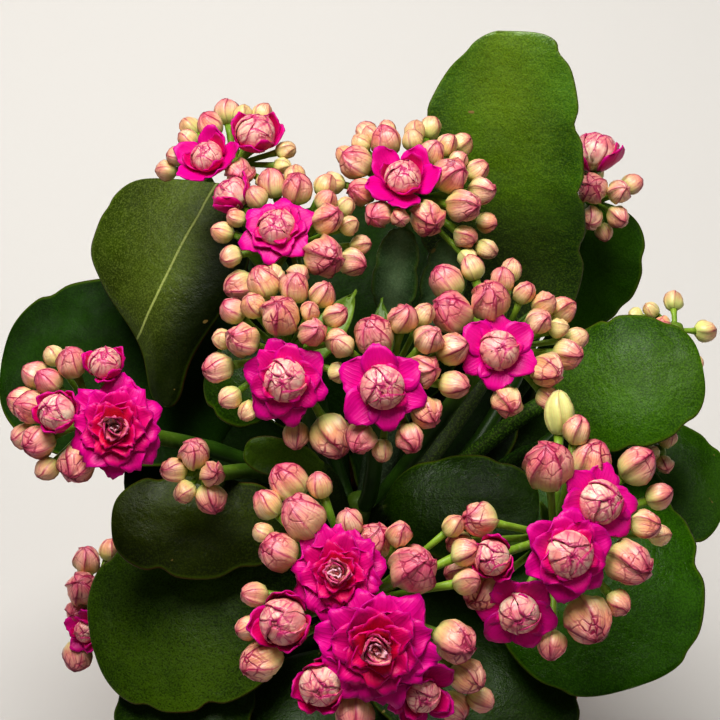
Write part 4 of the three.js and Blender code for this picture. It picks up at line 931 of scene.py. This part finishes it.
# tone turns a bud from peach to pink, fresh turns it towards the young yellow-green
def budMaterial(name, cream):
    look = budLook
    edgeCode = look["creamEdge" if cream else "edge"]
    material, tree, shader = newMaterial(name, {
        "Roughness": 0.4, "Subsurface Weight": 0.12, "Subsurface Radius": (0.0012, 0.0006, 0.0004)})
    place = objectPlace(tree)
    across, up = ownMap(tree)
    tone, fresh = ownValue(tree, "tone"), ownValue(tree, "fresh")
    warm = spots(tree, place, 260, 2, 0.3, 0.7)
    peach, pink = (mixColour(tree, warm, *(shade(code) for code in look[kind]))
                   for kind in (("ball", "ballPink") if cream else ("peach", "pink")))
    colour = mixColour(tree, tone, peach, pink)
    if cream:
        patches = spots(tree, place, 300, 2, 0.38, 0.6)
        low = stretch(tree, up, 1.0, 0.4, 0.1, 0.8)
        colour = tint(tree, colour, times(tree, patches, low), look["cream"])
    # a net of pink veins runs from the base to the tip
    lane = reckon(tree, "ADD", across, times(tree, cloud(tree, place, 520, 2), 0.22))
    fine = stretch(tree, reckon(tree, "SINE", times(tree, lane, 44.0)), 0.35, 0.95)
    broad = stretch(tree, reckon(tree, "SINE", times(tree, lane, 19.0)), 0.7, 1.0)
    veins = reckon(tree, "MAXIMUM", times(tree, fine, 0.4), times(tree, broad, 0.55))
    smudge = stretch(tree, cloud(tree, place, 640, 3, 0.6), 0.34, 0.55, 0.15, 1.0)
    veins = times(tree, times(tree, veins, smudge), stretch(tree, up, 0.2, 0.8, 0.15, 1.0))
    if not cream:
        blush = times(tree, stretch(tree, across, 0.6, 0.95, 0.0, 0.6), stretch(tree, up, 0.35, 0.8))
        colour = tint(tree, colour, blush, look["flush"])
        tipFlush = spots(tree, place, 420, 2, 0.3, 0.6, 0.1, 0.7)
        tipFlush = times(tree, tipFlush, stretch(tree, up, 0.62, 0.95))
        colour = tint(tree, colour, tipFlush, look["flush"])
        base = times(tree, stretch(tree, up, 0.7, 0.2), 0.92)
        colour = tint(tree, colour, base, look["green"])
    colour = tint(tree, colour, times(tree, fresh, 0.85), look["youngGreen"])
    veins = times(tree, veins, stretch(tree, fresh, 0.0, 1.0, 1.0, 0.3))
    colour = tint(tree, colour, veins, look["vein"])
    # the petals' tips cross over the top in small irregular folds
    shift = addNode(tree, "ShaderNodeTexNoise", {"Vector": place, "Scale": 420.0}).outputs["Color"]
    shift = addNode(tree, "ShaderNodeVectorMath", {0: shift, "Scale": 0.0011}, operation="SCALE")
    where = addNode(tree, "ShaderNodeVectorMath", {0: place, 1: shift.outputs[0]}).outputs[0]
    folds = addNode(tree, "ShaderNodeTexVoronoi", {"Vector": where, "Scale": 480.0},
                    feature="DISTANCE_TO_EDGE").outputs["Distance"]
    fold = times(tree, stretch(tree, folds, 0.1, 0.03), stretch(tree, up, 0.45, 0.8, 0.0, 0.95))
    fold = times(tree, fold, 0.75 if cream else ownValue(tree, "rim"))
    fold = times(tree, fold, spots(tree, place, 350, 2, 0.35, 0.55, 0.15, 1.0))
    colour = tint(tree, colour, fold, edgeCode)
    # crimson along the free edge of each petal, and painted shade in the crease beside it
    strength = stretch(tree, up, 0.3, 0.85, 0.3, 1.0)
    strength = times(tree, strength, spots(tree, place, 300, 2, 0.32, 0.52, 0.25, 1))
    strength = times(tree, strength, stretch(tree, fresh, 0.0, 1.0, 1.0, 0.3))
    if cream:
        side = reckon(tree, "ABSOLUTE", reckon(tree, "SUBTRACT", across, 0.5))
        edge = reckon(tree, "MAXIMUM", stretch(tree, side, 0.43, 0.49), stretch(tree, up, 0.91, 0.975))
    else:
        edge = reckon(tree, "MAXIMUM", stretch(tree, across, 0.89, 0.96),
                      stretch(tree, up, 0.9, 1.0, 0.0, 0.7))
    colour = tint(tree, colour, times(tree, edge, strength), edgeCode)
    if not cream:
        # painted shade in the crease where a petal tucks under its neighbour
        colour = tint(tree, colour, stretch(tree, across, 0.07, 0.01, 0.0, 0.45), look["paintedCreaseShade"])
    link(tree, colour, shader.inputs["Base Color"])
    crinkle = bump(tree, cloud(tree, place, 480, 3), 0.4, 0.0004)
    crinkle = bump(tree, times(tree, fold, -1.0), 0.5, 0.0003, crinkle)
    link(tree, bump(tree, veins, 0.3, 0.00015, crinkle), shader.inputs["Normal"])
    return material


stalkLook = {"leafy": ("142a04", "24440a"), "young": ("6f9628", "98b53c"), "streaks": "c3cf8a",
             "ageAndShade": "6e5a34"}


# tone turns the green from leafy to the yellow-green of young stalks, fresh to the brown of old ones
def greenMaterial():
    material, tree, shader = newMaterial("stalk_green", {
        "Roughness": 0.4, "Specular IOR Level": 0.25, "Subsurface Weight": 0.1,
        "Subsurface Radius": (0.0007, 0.0012, 0.0003)})
    place = objectPlace(tree)
    tone, ageAndShade = ownValue(tree, "tone"), ownValue(tree, "fresh")
    patches = spots(tree, place, 130, 3, 0.3, 0.7)
    leafy, young = (mixColour(tree, patches, *(shade(code) for code in stalkLook[age]))
                    for age in ("leafy", "young"))
    colour = mixColour(tree, tone, leafy, young)
    stretched = addNode(tree, "ShaderNodeMapping", {"Vector": place, "Scale": (1, 1, 0.12)}).outputs[0]
    streaks = times(tree, spots(tree, stretched, 1500, 2, 0.5, 0.8, 0.0, 0.4), tone)
    colour = tint(tree, colour, streaks, stalkLook["streaks"])
    brown = times(tree, ageAndShade, spots(tree, place, 160, 3, 0.25, 0.6, 0.4, 1))
    colour = tint(tree, colour, brown, stalkLook["ageAndShade"])
    link(tree, colour, shader.inputs["Base Color"])
    link(tree, bump(tree, cloud(tree, stretched, 900, 3), 0.3, 0.0003), shader.inputs["Normal"])
    return material


# a bud smaller than small has fewer petals, and one smaller than green starts to be green
headForm = {"petalThickness": 0.3, "rayRoot": 0.62, "rayTip": 0.72, "raySteps": 5,
            "raySides": 7, "hub": 2.3, "sepals": 4, "bracts": 3, "small": 2.3, "green": 2.4}

petalSkin = petalMaterial()
budSkin = budMaterial("bud_peach", False)
ballSkin = budMaterial("wrapped_petals_cream", True)
greenSkin = greenMaterial()


# Gives open sheets a second side and a margin, straight under the first
def thicken(bm, thickness):
    bm.normal_update()
    inward = bm.verts.layers.float_vector.new("inward")
    for vert in bm.verts:
        vert[inward] = -vert.normal * thickness
    made = bmesh.ops.extrude_face_region(bm, geom=bm.faces[:], use_keep_orig=True)["geom"]
    for vert in made:
        if isinstance(vert, bmesh.types.BMVert):
            vert.co += vert[inward]
    bm.verts.layers.float_vector.remove(inward)


# A bud's or bloom's own stalk, bent out from the head's hub
def addRay(bm, hub, foot, lean, bend, size):
    way = foot - hub
    middle = hub + way * 0.5 + (lean - way.normalized()) * way.length * bend
    root, tip, steps = headForm["rayRoot"], headForm["rayTip"], headForm["raySteps"]
    points, radii = [], []
    for i in range(steps + 1):
        s = i / steps
        points.append(hub * (1 - s) ** 2 + middle * 2 * s * (1 - s) + foot * s * s)
        radii.append(size * (root + (tip - root) * i / steps))
    radii[-1] *= 1.25
    addTube(bm, points, radii, headForm["raySides"], tone=0.8, material=1)


def makeHead(head):
    rng = random.Random(seedOf(head["name"]))
    hub, lean = hubOf(head), leanOf(head)
    buds = settledBuds(head)
    bm = newMesh()
    places = []
    for middle, axis, radius in buds:
        way = middle - hub
        direction = way.normalized()
        places.append((hub + direction * (way.length - 1.05 * radius), direction, radius))
    for foot, direction, radius in places:
        for k in range(headForm["sepals"]):
            sepal = {"from": 0.25 * radius, "fromHeight": -0.08 * radius, "start": 48, "end": 74,
                     "length": radius * 0.85, "width": radius * 0.8, "wrap": 0.9, "widest": 0.3,
                     "rootShare": 0.7, "columns": 2, "rows": 3, "cup": 0.02, "wave": 0,
                     "tone": 0.75, "material": 1}
            addPetal(bm, foot, direction, k * math.pi / 2 + radius, sepal, rng)
    for k in range(headForm["bracts"]):
        bract = {"from": 1.0, "fromHeight": -1.0, "start": 40, "end": 20, "widest": 0.4,
                 "length": rng.uniform(0.3, 0.42) * head["spread"], "rootShare": 0.4,
                 "width": rng.uniform(1.6, 2.4), "wrap": 0.1, "cup": 0.2, "columns": 4, "rows": 6,
                 "tone": 0.25, "material": 1}
        addPetal(bm, hub, lean, k * 2.1 + head["spread"], bract, rng)
    thicken(bm, headForm["petalThickness"])
    for number, (foot, direction, radius) in enumerate(places):
        small = radius < headForm["small"]
        green = within((headForm["green"] - radius) / 0.9) * rng.uniform(0.2, 1)
        ball = {"radius": radius, "height": 2.1 * radius, "petals": 4 if small else 5,
                "rings": 7 if small else 9, "twist": rng.uniform(0.3, 1.0),
                "ridge": 0.14 if small else 0.2, "peak": 0.1, "fullness": rng.uniform(0.74, 0.95),
                "tone": within(rng.gauss(0.32, 0.28) + (radius - 2.8) * 0.2),
                "folds": max(0.3, min(1, (radius - 2.0) / 1.2)),
                "fresh": green, "hand": rng.choice((-1, 1))}
        if number == head.get("longBud"):
            ball.update(height=3 * radius, fresh=1, folds=0, fullness=0.7)
        addBud(bm, foot, direction, ball, rng)
    for foot, direction, radius in places:
        addRay(bm, hub, foot, lean, rng.uniform(0.03, 0.1), 0.8 if radius < 2.2 else 1)
    for bloom in head["blooms"]:
        foot, axis = bloomFoot(head, bloom), flowerPlace(head, bloom)[1]
        addRay(bm, hub, foot - axis * 0.4, lean, 0.06, 1.15)
    knob = [hub + lean * (height * headForm["hub"]) for height in (-0.95, -0.6, 0, 0.6, 0.9)]
    knobRadii = [headForm["hub"] * share for share in (0.35, 0.75, 0.85, 0.6, 0.2)]
    addTube(bm, knob, knobRadii, 12, tone=0.6, fresh=0.15, material=1)
    finishPiece(bm, head["name"] + "_buds", [head["name"]], [budSkin, greenSkin])


for head in heads:
    makeHead(head)
print("heads:", len(heads))


# count petals in a ring, whose tips stand at tip out and height up, in shares of the bloom's radius
openRings = (
    {"count": 6, "tip": 1.0, "height": 0.14, "bend": 26, "width": 0.86, "cup": 0.05, "wave": 0.06},
    {"count": 6, "tip": 0.9, "height": 0.27, "bend": 28, "width": 0.8, "cup": 0.06, "wave": 0.06,
     "tone": 0.1},
    {"count": 6, "tip": 0.76, "height": 0.4, "bend": 30, "width": 0.72, "cup": 0.08, "wave": 0.055,
     "tone": 0.4},
    {"count": 6, "tip": 0.6, "height": 0.5, "bend": 30, "width": 0.62, "cup": 0.1, "wave": 0.05,
     "tone": 0.75},
    {"count": 5, "tip": 0.44, "height": 0.57, "bend": 26, "width": 0.56, "cup": 0.12, "wrap": 0.5,
     "wave": 0.05, "tone": 1},
    {"count": 4, "tip": 0.29, "height": 0.64, "bend": 20, "width": 0.46, "cup": 0.12, "wrap": 0.8,
     "wave": 0.05, "tone": 1, "fresh": 0.25},
    {"count": 4, "tip": 0.13, "height": 0.7, "bend": 14, "width": 0.3, "cup": 0.1, "wrap": 0.9,
     "wave": 0.05, "tone": 0.8, "fresh": 1},
)
doubleRings = (
    {"count": 6, "tip": 1.0, "height": 0.2, "bend": 24, "width": 0.86, "cup": 0.05, "wave": 0.035},
    {"count": 6, "tip": 0.82, "height": 0.36, "bend": 30, "width": 0.76, "cup": 0.08, "wave": 0.035,
     "tone": 0.2},
    {"count": 5, "tip": 0.6, "height": 0.56, "bend": 32, "width": 0.62, "wrap": 0.8, "tone": 0.55},
)
halfRings = (
    {"count": 6, "tip": 1.0, "height": 0.22, "bend": 28, "width": 0.92, "cup": 0.08, "wave": 0.025},
    {"count": 3, "tip": 0.6, "height": 0.5, "bend": 38, "width": 0.66, "wrap": 0.9, "tone": 0.5},
)
bowlRings = (
    {"count": 5, "tip": 1.05, "height": 0.62, "bend": -22, "width": 0.95, "wrap": 0.55, "cup": 0.05,
     "wave": 0.04, "from": 0.2},
    {"count": 3, "tip": 0.68, "height": 0.72, "bend": -30, "width": 0.8, "wrap": 0.9, "tone": 0.5,
     "from": 0.2},
)
cupRings = (
    {"count": 3, "tip": 0.98, "height": 0.95, "bend": -30, "width": 1.15, "wrap": 0.85, "cup": 0.03,
     "wave": 0.04, "tone": 0.25, "from": 0.25},
    {"count": 3, "tip": 0.84, "height": 1.12, "bend": -42, "width": 1.1, "wrap": 0.97, "cup": 0,
     "wave": 0.03, "tone": 0.6, "from": 0.25},
)
# the wrapped petals of a half-open bloom's ball, from the outermost in
ballLayers = (
    {"count": 3, "start": 30, "end": 160, "width": 128, "layer": 1.0},
    {"count": 3, "start": 50, "end": 178, "width": 104, "layer": 0.95},
    {"count": 2, "start": 90, "end": 198, "width": 84, "layer": 0.9},
)
# the pale petals that still stand up in the middle of a full bloom
heartLayers = (
    {"count": 3, "start": 30, "end": 112, "width": 150, "layer": 1.0, "flare": 0.3, "lap": 0.12},
    {"count": 2, "start": 40, "end": 120, "width": 170, "layer": 0.62, "flare": 0.25, "lap": 0.12},
)
ringsByOpenness = ((1, openRings), (0.7, doubleRings), (0.55, halfRings), (tightBloom, bowlRings),
                   (0, cupRings))
ringForm = {"from": 0.12, "wrap": 0.25, "cup": 0.06, "wave": 0.04, "ragged": 0.045, "tone": 0, "fresh": 0}
# the width and height of a full bloom's heart, a half-open one's core and a cupped one's ball, in
# shares of the bloom's radius
bloomForm = {"heart": (0.19, 1.1), "core": (0.5, 0.84), "ball": (0.74, 1.36), "petalThickness": 0.26,
             "raggedFull": 0.1, "sepals": 4, "ringTurn": 0.53, "layerTurn": 0.9}


def addRing(bm, foot, axis, radius, ring, turn, rng):
    ring = {**ringForm, **ring}
    start = ring["from"] * radius
    out, up = ring["tip"] * radius - start, ring["height"] * radius
    slope = math.degrees(math.atan2(up, max(out, 0.01)))
    for k in range(ring["count"]):
        size = rng.uniform(0.9, 1.04)
        petal = {"from": start, "start": slope + ring["bend"] + rng.uniform(-5, 5),
                 "end": slope - ring["bend"] + rng.uniform(-14, 12),
                 "length": math.hypot(out, up) * 1.1 * size,
                 "width": ring["width"] * radius * rng.uniform(0.88, 1.08),
                 "wrap": ring["wrap"], "cup": ring["cup"], "wave": ring["wave"],
                 "ragged": ring["ragged"], "tone": ring["tone"] * rng.uniform(0.75, 1.1),
                 "fresh": ring["fresh"]}
        spin = turn + 2 * math.pi * (k + rng.uniform(-0.13, 0.13)) / ring["count"]
        addPetal(bm, foot, axis, spin, petal, rng)


def makeBloom(head, number):
    bloom = head["blooms"][number]
    name = f"{head['name']}_bloom_{number + 1}"
    rng = random.Random(seedOf(name) * 7)
    radius, openness = bloom[2] / 2, bloom[3]
    foot, axis = bloomFoot(head, bloom), flowerPlace(head, bloom)[1]
    full, tight = openness >= 1, openness < tightBloom
    rings = next(rings for least, rings in ringsByOpenness if openness >= least)
    bm = newMesh()
    turn = rng.uniform(0, 1)
    for layer, ring in enumerate(rings):
        if full:
            ring = dict(ring, ragged=bloomForm["raggedFull"])
        addRing(bm, foot, axis, radius, ring, turn + layer * bloomForm["ringTurn"], rng)
    for k in range(bloomForm["sepals"]):
        sepal = {"from": 0.12 * radius, "fromHeight": -0.5, "start": 30, "end": 12, "widest": 0.35,
                 "length": radius * 0.42, "width": radius * 0.3, "rootShare": 0.6, "columns": 2,
                 "rows": 4, "tone": 0.4, "material": 2, "tipShare": 0.2}
        addPetal(bm, foot, axis, k * math.pi / 2, sepal, rng)
    size, tall = (share * radius for share in bloomForm["heart" if full else "ball" if tight else "core"])
    for depth, layer in enumerate(heartLayers if full else ballLayers):
        for k in range(layer["count"]):
            shell = dict(layer, radius=size, height=tall, tone=rng.uniform(0.3, 0.9),
                         end=layer["end"] + rng.uniform(-9, 7))
            spin = 2 * math.pi * (k + rng.uniform(-0.12, 0.12)) / layer["count"]
            addShell(bm, foot, axis, turn + depth * bloomForm["layerTurn"] + spin, shell, rng)
    thicken(bm, bloomForm["petalThickness"])
    if full:
        heart = {"radius": 0.09 * radius, "height": 0.62 * radius, "petals": 4, "rings": 7, "tone": 0.1,
                 "twist": 0.9, "ridge": 0.2, "material": 1, "peak": 0.2}
        addBud(bm, foot, axis, heart, rng)
    else:
        ball = {"radius": size * 0.84, "height": tall * 0.95, "petals": 5, "rings": 8, "tone": 0.5,
                "twist": 0.5, "ridge": 0.1, "material": 1}
        addBud(bm, foot + axis * 0.02 * radius, axis, ball, rng)
    finishPiece(bm, name + "_petals", [name], [petalSkin, ballSkin, greenSkin])


for head in heads:
    for number in range(len(head["blooms"])):
        makeBloom(head, number)
print("blooms:", sum(len(head["blooms"]) for head in heads))


# outShare, upShare and endShare say how far a stalk runs out, up and straight into its head, in shares
# of its length, and scarsFrom the height from which old leaves' scars ring the stem
stemForm = {"bottom": 57, "top": 118, "bottomRadius": 3.6, "topRadius": 2.8, "stalkRadius": 1.5,
            "outShare": 0.4, "upShare": 0.12, "endShare": 0.35, "stemSteps": 40, "stemSides": 20,
            "stalkSteps": 18, "stalkSides": 12, "scarsFrom": 72, "brownTo": 98, "brownOver": 22,
            "intoHead": 1.92, "leafletThickness": 0.6}


def stalkPath(head):
    form = stemForm
    hub, lean = hubOf(head), leanOf(head)
    start, end = Vector((0, 0, head["stalkFrom"])), hub - lean * form["intoHead"]
    out = Vector((hub.x, hub.y, 0))
    length = (end - start).length
    bendOut = start + out.normalized() * min(form["outShare"] * length, 0.7 * out.length)
    bendOut.z = start.z + form["upShare"] * length
    if "stalkBy" in head:
        bendOut = Vector(head["stalkBy"])
    bendUp = end - lean * form["endShare"] * length
    steps = form["stalkSteps"]
    return [bezier((start, bendOut, bendUp, end), i / steps)[0] for i in range(steps + 1)]


# Narrow leaflets that grow under a head, from its stalk to the given tip
leaflets = (
    {"head": "middle_left_head", "at": 15, "tip": (-0.5, 17.7, 158), "width": 6, "tone": 0.45},
    {"head": "middle_left_head", "at": 13, "tip": (-17, 14, 156), "width": 3.2},
    {"head": "middle_head", "at": 15, "tip": (3.6, 13.6, 161), "width": 4.6},
    {"head": "right_head", "at": 14, "tip": (35, 16, 158), "width": 3.6},
    {"head": "front_head", "at": 13, "tip": (-15, -30, 150), "width": 4.2},
    {"head": "back_left_head", "at": 14, "tip": (-24, 34, 156), "width": 3.4},
)


def makeStems():
    form = stemForm
    bm = newMesh()
    rng = random.Random(3)
    paths = {head["name"]: stalkPath(head) for head in heads}
    for leaflet in leaflets:
        foot, tip = paths[leaflet["head"]][leaflet["at"]], Vector(leaflet["tip"])
        way = tip - foot
        axis = (toView - way * toView.dot(way) / way.length_squared).normalized()
        first, _ = turnedOut(axis, 0)
        spin = math.atan2(axis.dot(first.cross(way)), first.dot(way))
        blade = {"from": 0, "start": 14, "end": -16, "length": way.length, "width": leaflet["width"],
                 "widest": 0.5, "tipShare": 0.1, "blunt": 0.05, "rootShare": 0.3, "cup": 0.16,
                 "wave": 0.02, "wrap": 0, "tone": leaflet.get("tone", 0.2), "columns": 6, "rows": 12}
        addPetal(bm, foot, axis, spin, blade, rng)
    thicken(bm, form["leafletThickness"])
    joints = sorted({leaf["root"][2] for leaf in leaves} | {head["stalkFrom"] for head in heads})
    points, radii = [], []
    for i in range(form["stemSteps"] + 1):
        share = i / form["stemSteps"]
        height = form["bottom"] + (form["top"] - form["bottom"]) * share
        radius = form["bottomRadius"] + (form["topRadius"] - form["bottomRadius"]) * share
        nearest = min(abs(height - joint) for joint in joints)
        if height > form["scarsFrom"]:
            radius *= 1 + 0.05 * math.exp(-(nearest / 1.2) ** 2)
        points.append(Vector((0, 0, height)))
        radii.append(radius * 0.98)
    radii[-1] *= 0.6
    verts = addTube(bm, points, radii, form["stemSides"], tone=0.25)
    oldLayer = bm.verts.layers.float["fresh"]
    for vert in verts:
        vert[oldLayer] = within((form["brownTo"] - vert.co.z) / form["brownOver"])
    for head in heads:
        path = paths[head["name"]]
        last = len(path) - 1
        sizes = [form["stalkRadius"] * (1.08 - 0.14 * i / last) for i in range(last + 1)]
        sizes[last // 2] *= 1.12
        toneLayer = bm.verts.layers.float["tone"]
        # the stalks turn young and pale near their heads; their dark green lower down is partly painted
        # shade
        for vert in addTube(bm, path, sizes, form["stalkSides"]):
            rise = (vert.co.z - path[0].z) / (path[-1].z - path[0].z)
            vert[toneLayer] = 0.03 + 0.4 * within((rise - 0.55) / 0.4)  # young and pale near the head
    finishPiece(bm, "stems_green", ["stems"], [greenSkin])


makeStems()
print("stems made")


potForm = {"rimRadius": 45, "footRadius": 30, "height": 78, "bandHeight": 19, "bandStep": 2.4,
           "bandTaper": 1, "wall": 4.5, "floor": 6, "drainRadius": 5, "edgeRound": 1.2,
           "cornerRound": 0.6, "steps": 112}
clayLook = {"body": ("a5532f", "c07048"), "specks": "d99b75", "pits": "6b3a24", "lime": "d9c3ae"}


def clayMaterial():
    material, tree, shader = newMaterial("fired_clay", {"Roughness": 0.85})
    place = objectPlace(tree)
    patches = stretch(tree, cloud(tree, place, 28, 4, 0.6), 0.3, 0.7)
    colour = mixColour(tree, patches, *(shade(code) for code in clayLook["body"]))
    colour = tint(tree, colour, spots(tree, place, 900, 2, 0.62, 0.72, 0.0, 0.5), clayLook["specks"])
    colour = tint(tree, colour, spots(tree, place, 1300, 1, 0.7, 0.76, 0.0, 0.45), clayLook["pits"])
    # white lime creeps up from the foot
    height = addNode(tree, "ShaderNodeSeparateXYZ", {"Vector": place}).outputs["Z"]
    lime = times(tree, stretch(tree, cloud(tree, place, 45, 5, 0.65), 0.5, 0.72),
                 stretch(tree, height, 0.065, 0.0, 0.12, 0.7))
    colour = tint(tree, colour, lime, clayLook["lime"])
    link(tree, colour, shader.inputs["Base Color"])
    # the wheel leaves fine level grooves
    level = addNode(tree, "ShaderNodeMapping", {"Vector": place, "Scale": (0.03, 0.03, 1)}).outputs[0]
    rough = bump(tree, cloud(tree, level, 1100, 2), 0.35, 0.0004)
    link(tree, bump(tree, cloud(tree, place, 1500, 3, 0.6), 0.4, 0.0003, rough), shader.inputs["Normal"])
    return material


def wallRadius(height):
    top = potForm["rimRadius"] - potForm["bandStep"]
    return potForm["footRadius"] + (top - potForm["footRadius"]) * height / potForm["height"]


def makePot():
    form = potForm
    rim, top, rounding = form["rimRadius"], form["height"], form["edgeRound"]
    bandBottom = top - form["bandHeight"]
    inner = rim - form["bandStep"] - form["wall"]
    floorInner = wallRadius(form["floor"]) - form["wall"]
    profile = [(form["drainRadius"], 0), (form["footRadius"], 0), (wallRadius(bandBottom), bandBottom),
               (rim - form["bandTaper"], bandBottom), (rim, top - rounding), (rim - rounding, top),
               (inner + rounding, top), (inner, top - rounding), (floorInner, form["floor"]),
               (form["drainRadius"], form["floor"])]
    bm = newMesh()
    verts = [bm.verts.new((radius, 0, height)) for radius, height in profile]
    for a, b in zip(verts, verts[1:] + verts[:1]):
        bm.edges.new((a, b))
    bmesh.ops.bevel(bm, geom=verts[1:4], offset=form["cornerRound"], segments=3, profile=0.5,
                    affect="VERTICES", material=-1)
    bmesh.ops.spin(bm, geom=bm.verts[:] + bm.edges[:], cent=(0, 0, 0), axis=(0, 0, 1),
                   angle=2 * math.pi, steps=form["steps"], use_merge=True)
    bmesh.ops.remove_doubles(bm, verts=bm.verts, dist=mergeWithin)
    piece = finishPiece(bm, "pot_clay", ["pot"], [clayMaterial()])
    piece.data.set_sharp_from_angle(angle=math.radians(35))


soilForm = {"top": 71, "bottom": 6.35, "lump": 1.3, "rings": 40, "sideRings": 6, "around": 120,
            "crumbs": 260, "grit": 34, "gap": 0.6, "hole": 3.95, "holeDepth": 14.35, "holeEdge": 3}
soilLook = {"peat": ("17100b", "3a291b"), "grit": ("b8ab98", "ddd5c6"), "fibres": "6f5436"}


def soilMaterial(name):
    material, tree, shader = newMaterial(name, {"Roughness": 0.95})
    place = objectPlace(tree)
    patches = stretch(tree, cloud(tree, place, 420, 4, 0.7), 0.35, 0.7)
    colour = mixColour(tree, patches, *(shade(code) for code in soilLook[name]))
    fibres = stretch(tree, cloud(tree, place, 1500, 2, 0.6, 1.5), 0.62, 0.7, 0.0, 0.6)
    colour = tint(tree, colour, fibres, soilLook["fibres"])
    link(tree, colour, shader.inputs["Base Color"])
    lumps = bump(tree, cloud(tree, place, 700, 4, 0.7), 0.8, 0.0012)
    link(tree, lumps, shader.inputs["Normal"])
    return material


def soilHeight(x, y):
    swell = soilForm["lump"] * math.sin(0.61 * x + 1.3) * math.sin(0.53 * y + 0.4)
    crumb = noise.fractal(Vector((x * 0.55, y * 0.55, 3.1)), 1.0, 2.1, 4)
    return swell * 0.75 + crumb * 0.5


def makeSoil():
    form = soilForm
    inner = potForm["rimRadius"] - potForm["bandStep"] - potForm["wall"]
    floorInner = wallRadius(potForm["floor"]) - potForm["wall"]
    rimInner = potForm["height"] - potForm["edgeRound"]
    share = (form["top"] - potForm["floor"]) / (rimInner - potForm["floor"])
    edge = floorInner + (inner - floorInner) * share - form["gap"]
    bottomEdge = floorInner - form["gap"]
    top, hole, side, last = form["top"], form["hole"], form["sideRings"], form["rings"]
    inmost = last - 2
    bm = newMesh()

    # up the side in the first rows, then inward over the top, and down into the stem's hole
    def place(turn, way):
        i = round(way * last)
        if i < side:
            radius = bottomEdge + (edge - bottomEdge) * i / side
            height = form["bottom"] + (top - form["bottom"]) * i / side
        elif i > inmost:
            radius, height = hole, top - form["holeDepth" if i == last else "holeEdge"]
        else:
            radius, height = edge + (hole - edge) * (i - side) / (inmost - side), top
        x, y = radius * math.cos(turn), radius * math.sin(turn)
        if side < i < inmost:
            height += soilHeight(x, y) * min(1, (i - side) / 3, (inmost - i) / 3)
        return Vector((x, y, height))

    wrapGrid(bm, form["around"], form["rings"], place)
    rng = random.Random(5)
    for i in range(form["crumbs"] + form["grit"]):
        grit = i >= form["crumbs"]
        radius = math.sqrt(rng.uniform(0.03, 0.86)) * edge
        angle = rng.uniform(0, 2 * math.pi)
        size = rng.uniform(0.5, 0.9) if grit else rng.uniform(0.5, 1.7)
        spot = Vector((radius * math.cos(angle), radius * math.sin(angle), 0))
        if radius + size > edge - form["gap"] or radius - size < hole + 1.2:
            continue
        spot.z = form["top"] + soilHeight(spot.x, spot.y) + size * 0.1
        turn = Quaternion((rng.uniform(-1, 1), rng.uniform(-1, 1), rng.uniform(-1, 1)), rng.uniform(0, 3))
        matrix = Matrix.Translation(spot) @ turn.to_matrix().to_4x4() @ Matrix.Diagonal(
            (size, size * rng.uniform(0.6, 1), size * rng.uniform(0.4, 0.9), 1))
        lump = bmesh.ops.create_icosphere(bm, subdivisions=1, radius=1, matrix=matrix)["verts"]
        for vert in lump:
            vert.co += noise.noise_vector(vert.co * 1.3) * size * 0.35
        setMaterial(lump, 1 if grit else 0)
    finishPiece(bm, "soil_peat", ["soil"], [soilMaterial("peat"), soilMaterial("grit")])


makePot()
makeSoil()
print("pot and soil made")


# Each lamp has its power, its size and its place; they look at the plant from aimHeight
studio = {"floor": "c6c2bc", "floorSize": 4, "sky": 0.04, "skyShade": "eef0f4", "aimHeight": 0.13,
          "keyLight": (12.4, 0.55, (-0.12, 0.17, 1.03)), "fillLight": (0.5, 0.6, (-0.2, -0.8, 0.8)),
          "glossLight": (0.7, 0.3, (0.62, -0.2, 0.8)), "backLight": (0.08, 0.3, (-0.15, 0.55, 0.6)),
          "backAim": (-0.04, 0.25, 0), "backSpread": 40}
view = {"lens": 168.5, "sensor": 36, "distance": 0.6, "aimHeight": 0.16}


def addLight(name, aim):
    light = bpy.data.lights.new(name, "AREA")
    light.energy, light.size, where = studio[name]
    made = addObject(name, light)
    made.location = where
    made.rotation_mode = "QUATERNION"
    made.rotation_quaternion = (Vector(aim) - Vector(where)).to_track_quat("-Z", "Y")
    return made


def makeStudio():
    bm = bmesh.new()
    bmesh.ops.create_grid(bm, x_segments=1, y_segments=1, size=studio["floorSize"])
    mesh = bpy.data.meshes.new("floor")
    bm.to_mesh(mesh)
    bm.free()
    floor = addObject("floor", mesh)
    paper = {"Base Color": shade(studio["floor"]), "Roughness": 0.9}
    mesh.materials.append(newMaterial("floor_paper", paper)[0])
    for name in ("keyLight", "fillLight", "glossLight"):
        addLight(name, (potAxis.x, potAxis.y, studio["aimHeight"]))
    back = addLight("backLight", studio["backAim"])
    back.data.spread = math.radians(studio["backSpread"])  # it lights only the ground behind the plant
    world = bpy.data.worlds.new("studio")
    bpy.context.scene.world = world
    world.use_nodes = True
    sky = world.node_tree.nodes["Background"]
    sky.inputs["Color"].default_value = shade(studio["skyShade"])
    sky.inputs["Strength"].default_value = studio["sky"]


def makeCamera():
    data = bpy.data.cameras.new("camera")
    data.sensor_width, data.lens = view["sensor"], view["lens"]
    data.clip_start, data.clip_end = 0.01, 20
    camera = addObject("camera", data)
    camera.location = Vector((potAxis.x, potAxis.y, view["aimHeight"])) + toView * view["distance"]
    camera.rotation_euler = (math.pi / 2 - math.radians(frontUp), 0, 0)
    bpy.context.scene.camera = camera


makeStudio()
makeCamera()
bpy.context.scene.view_settings.view_transform = "Standard"
bpy.context.scene.view_settings.look = "Medium High Contrast"
print("studio made")
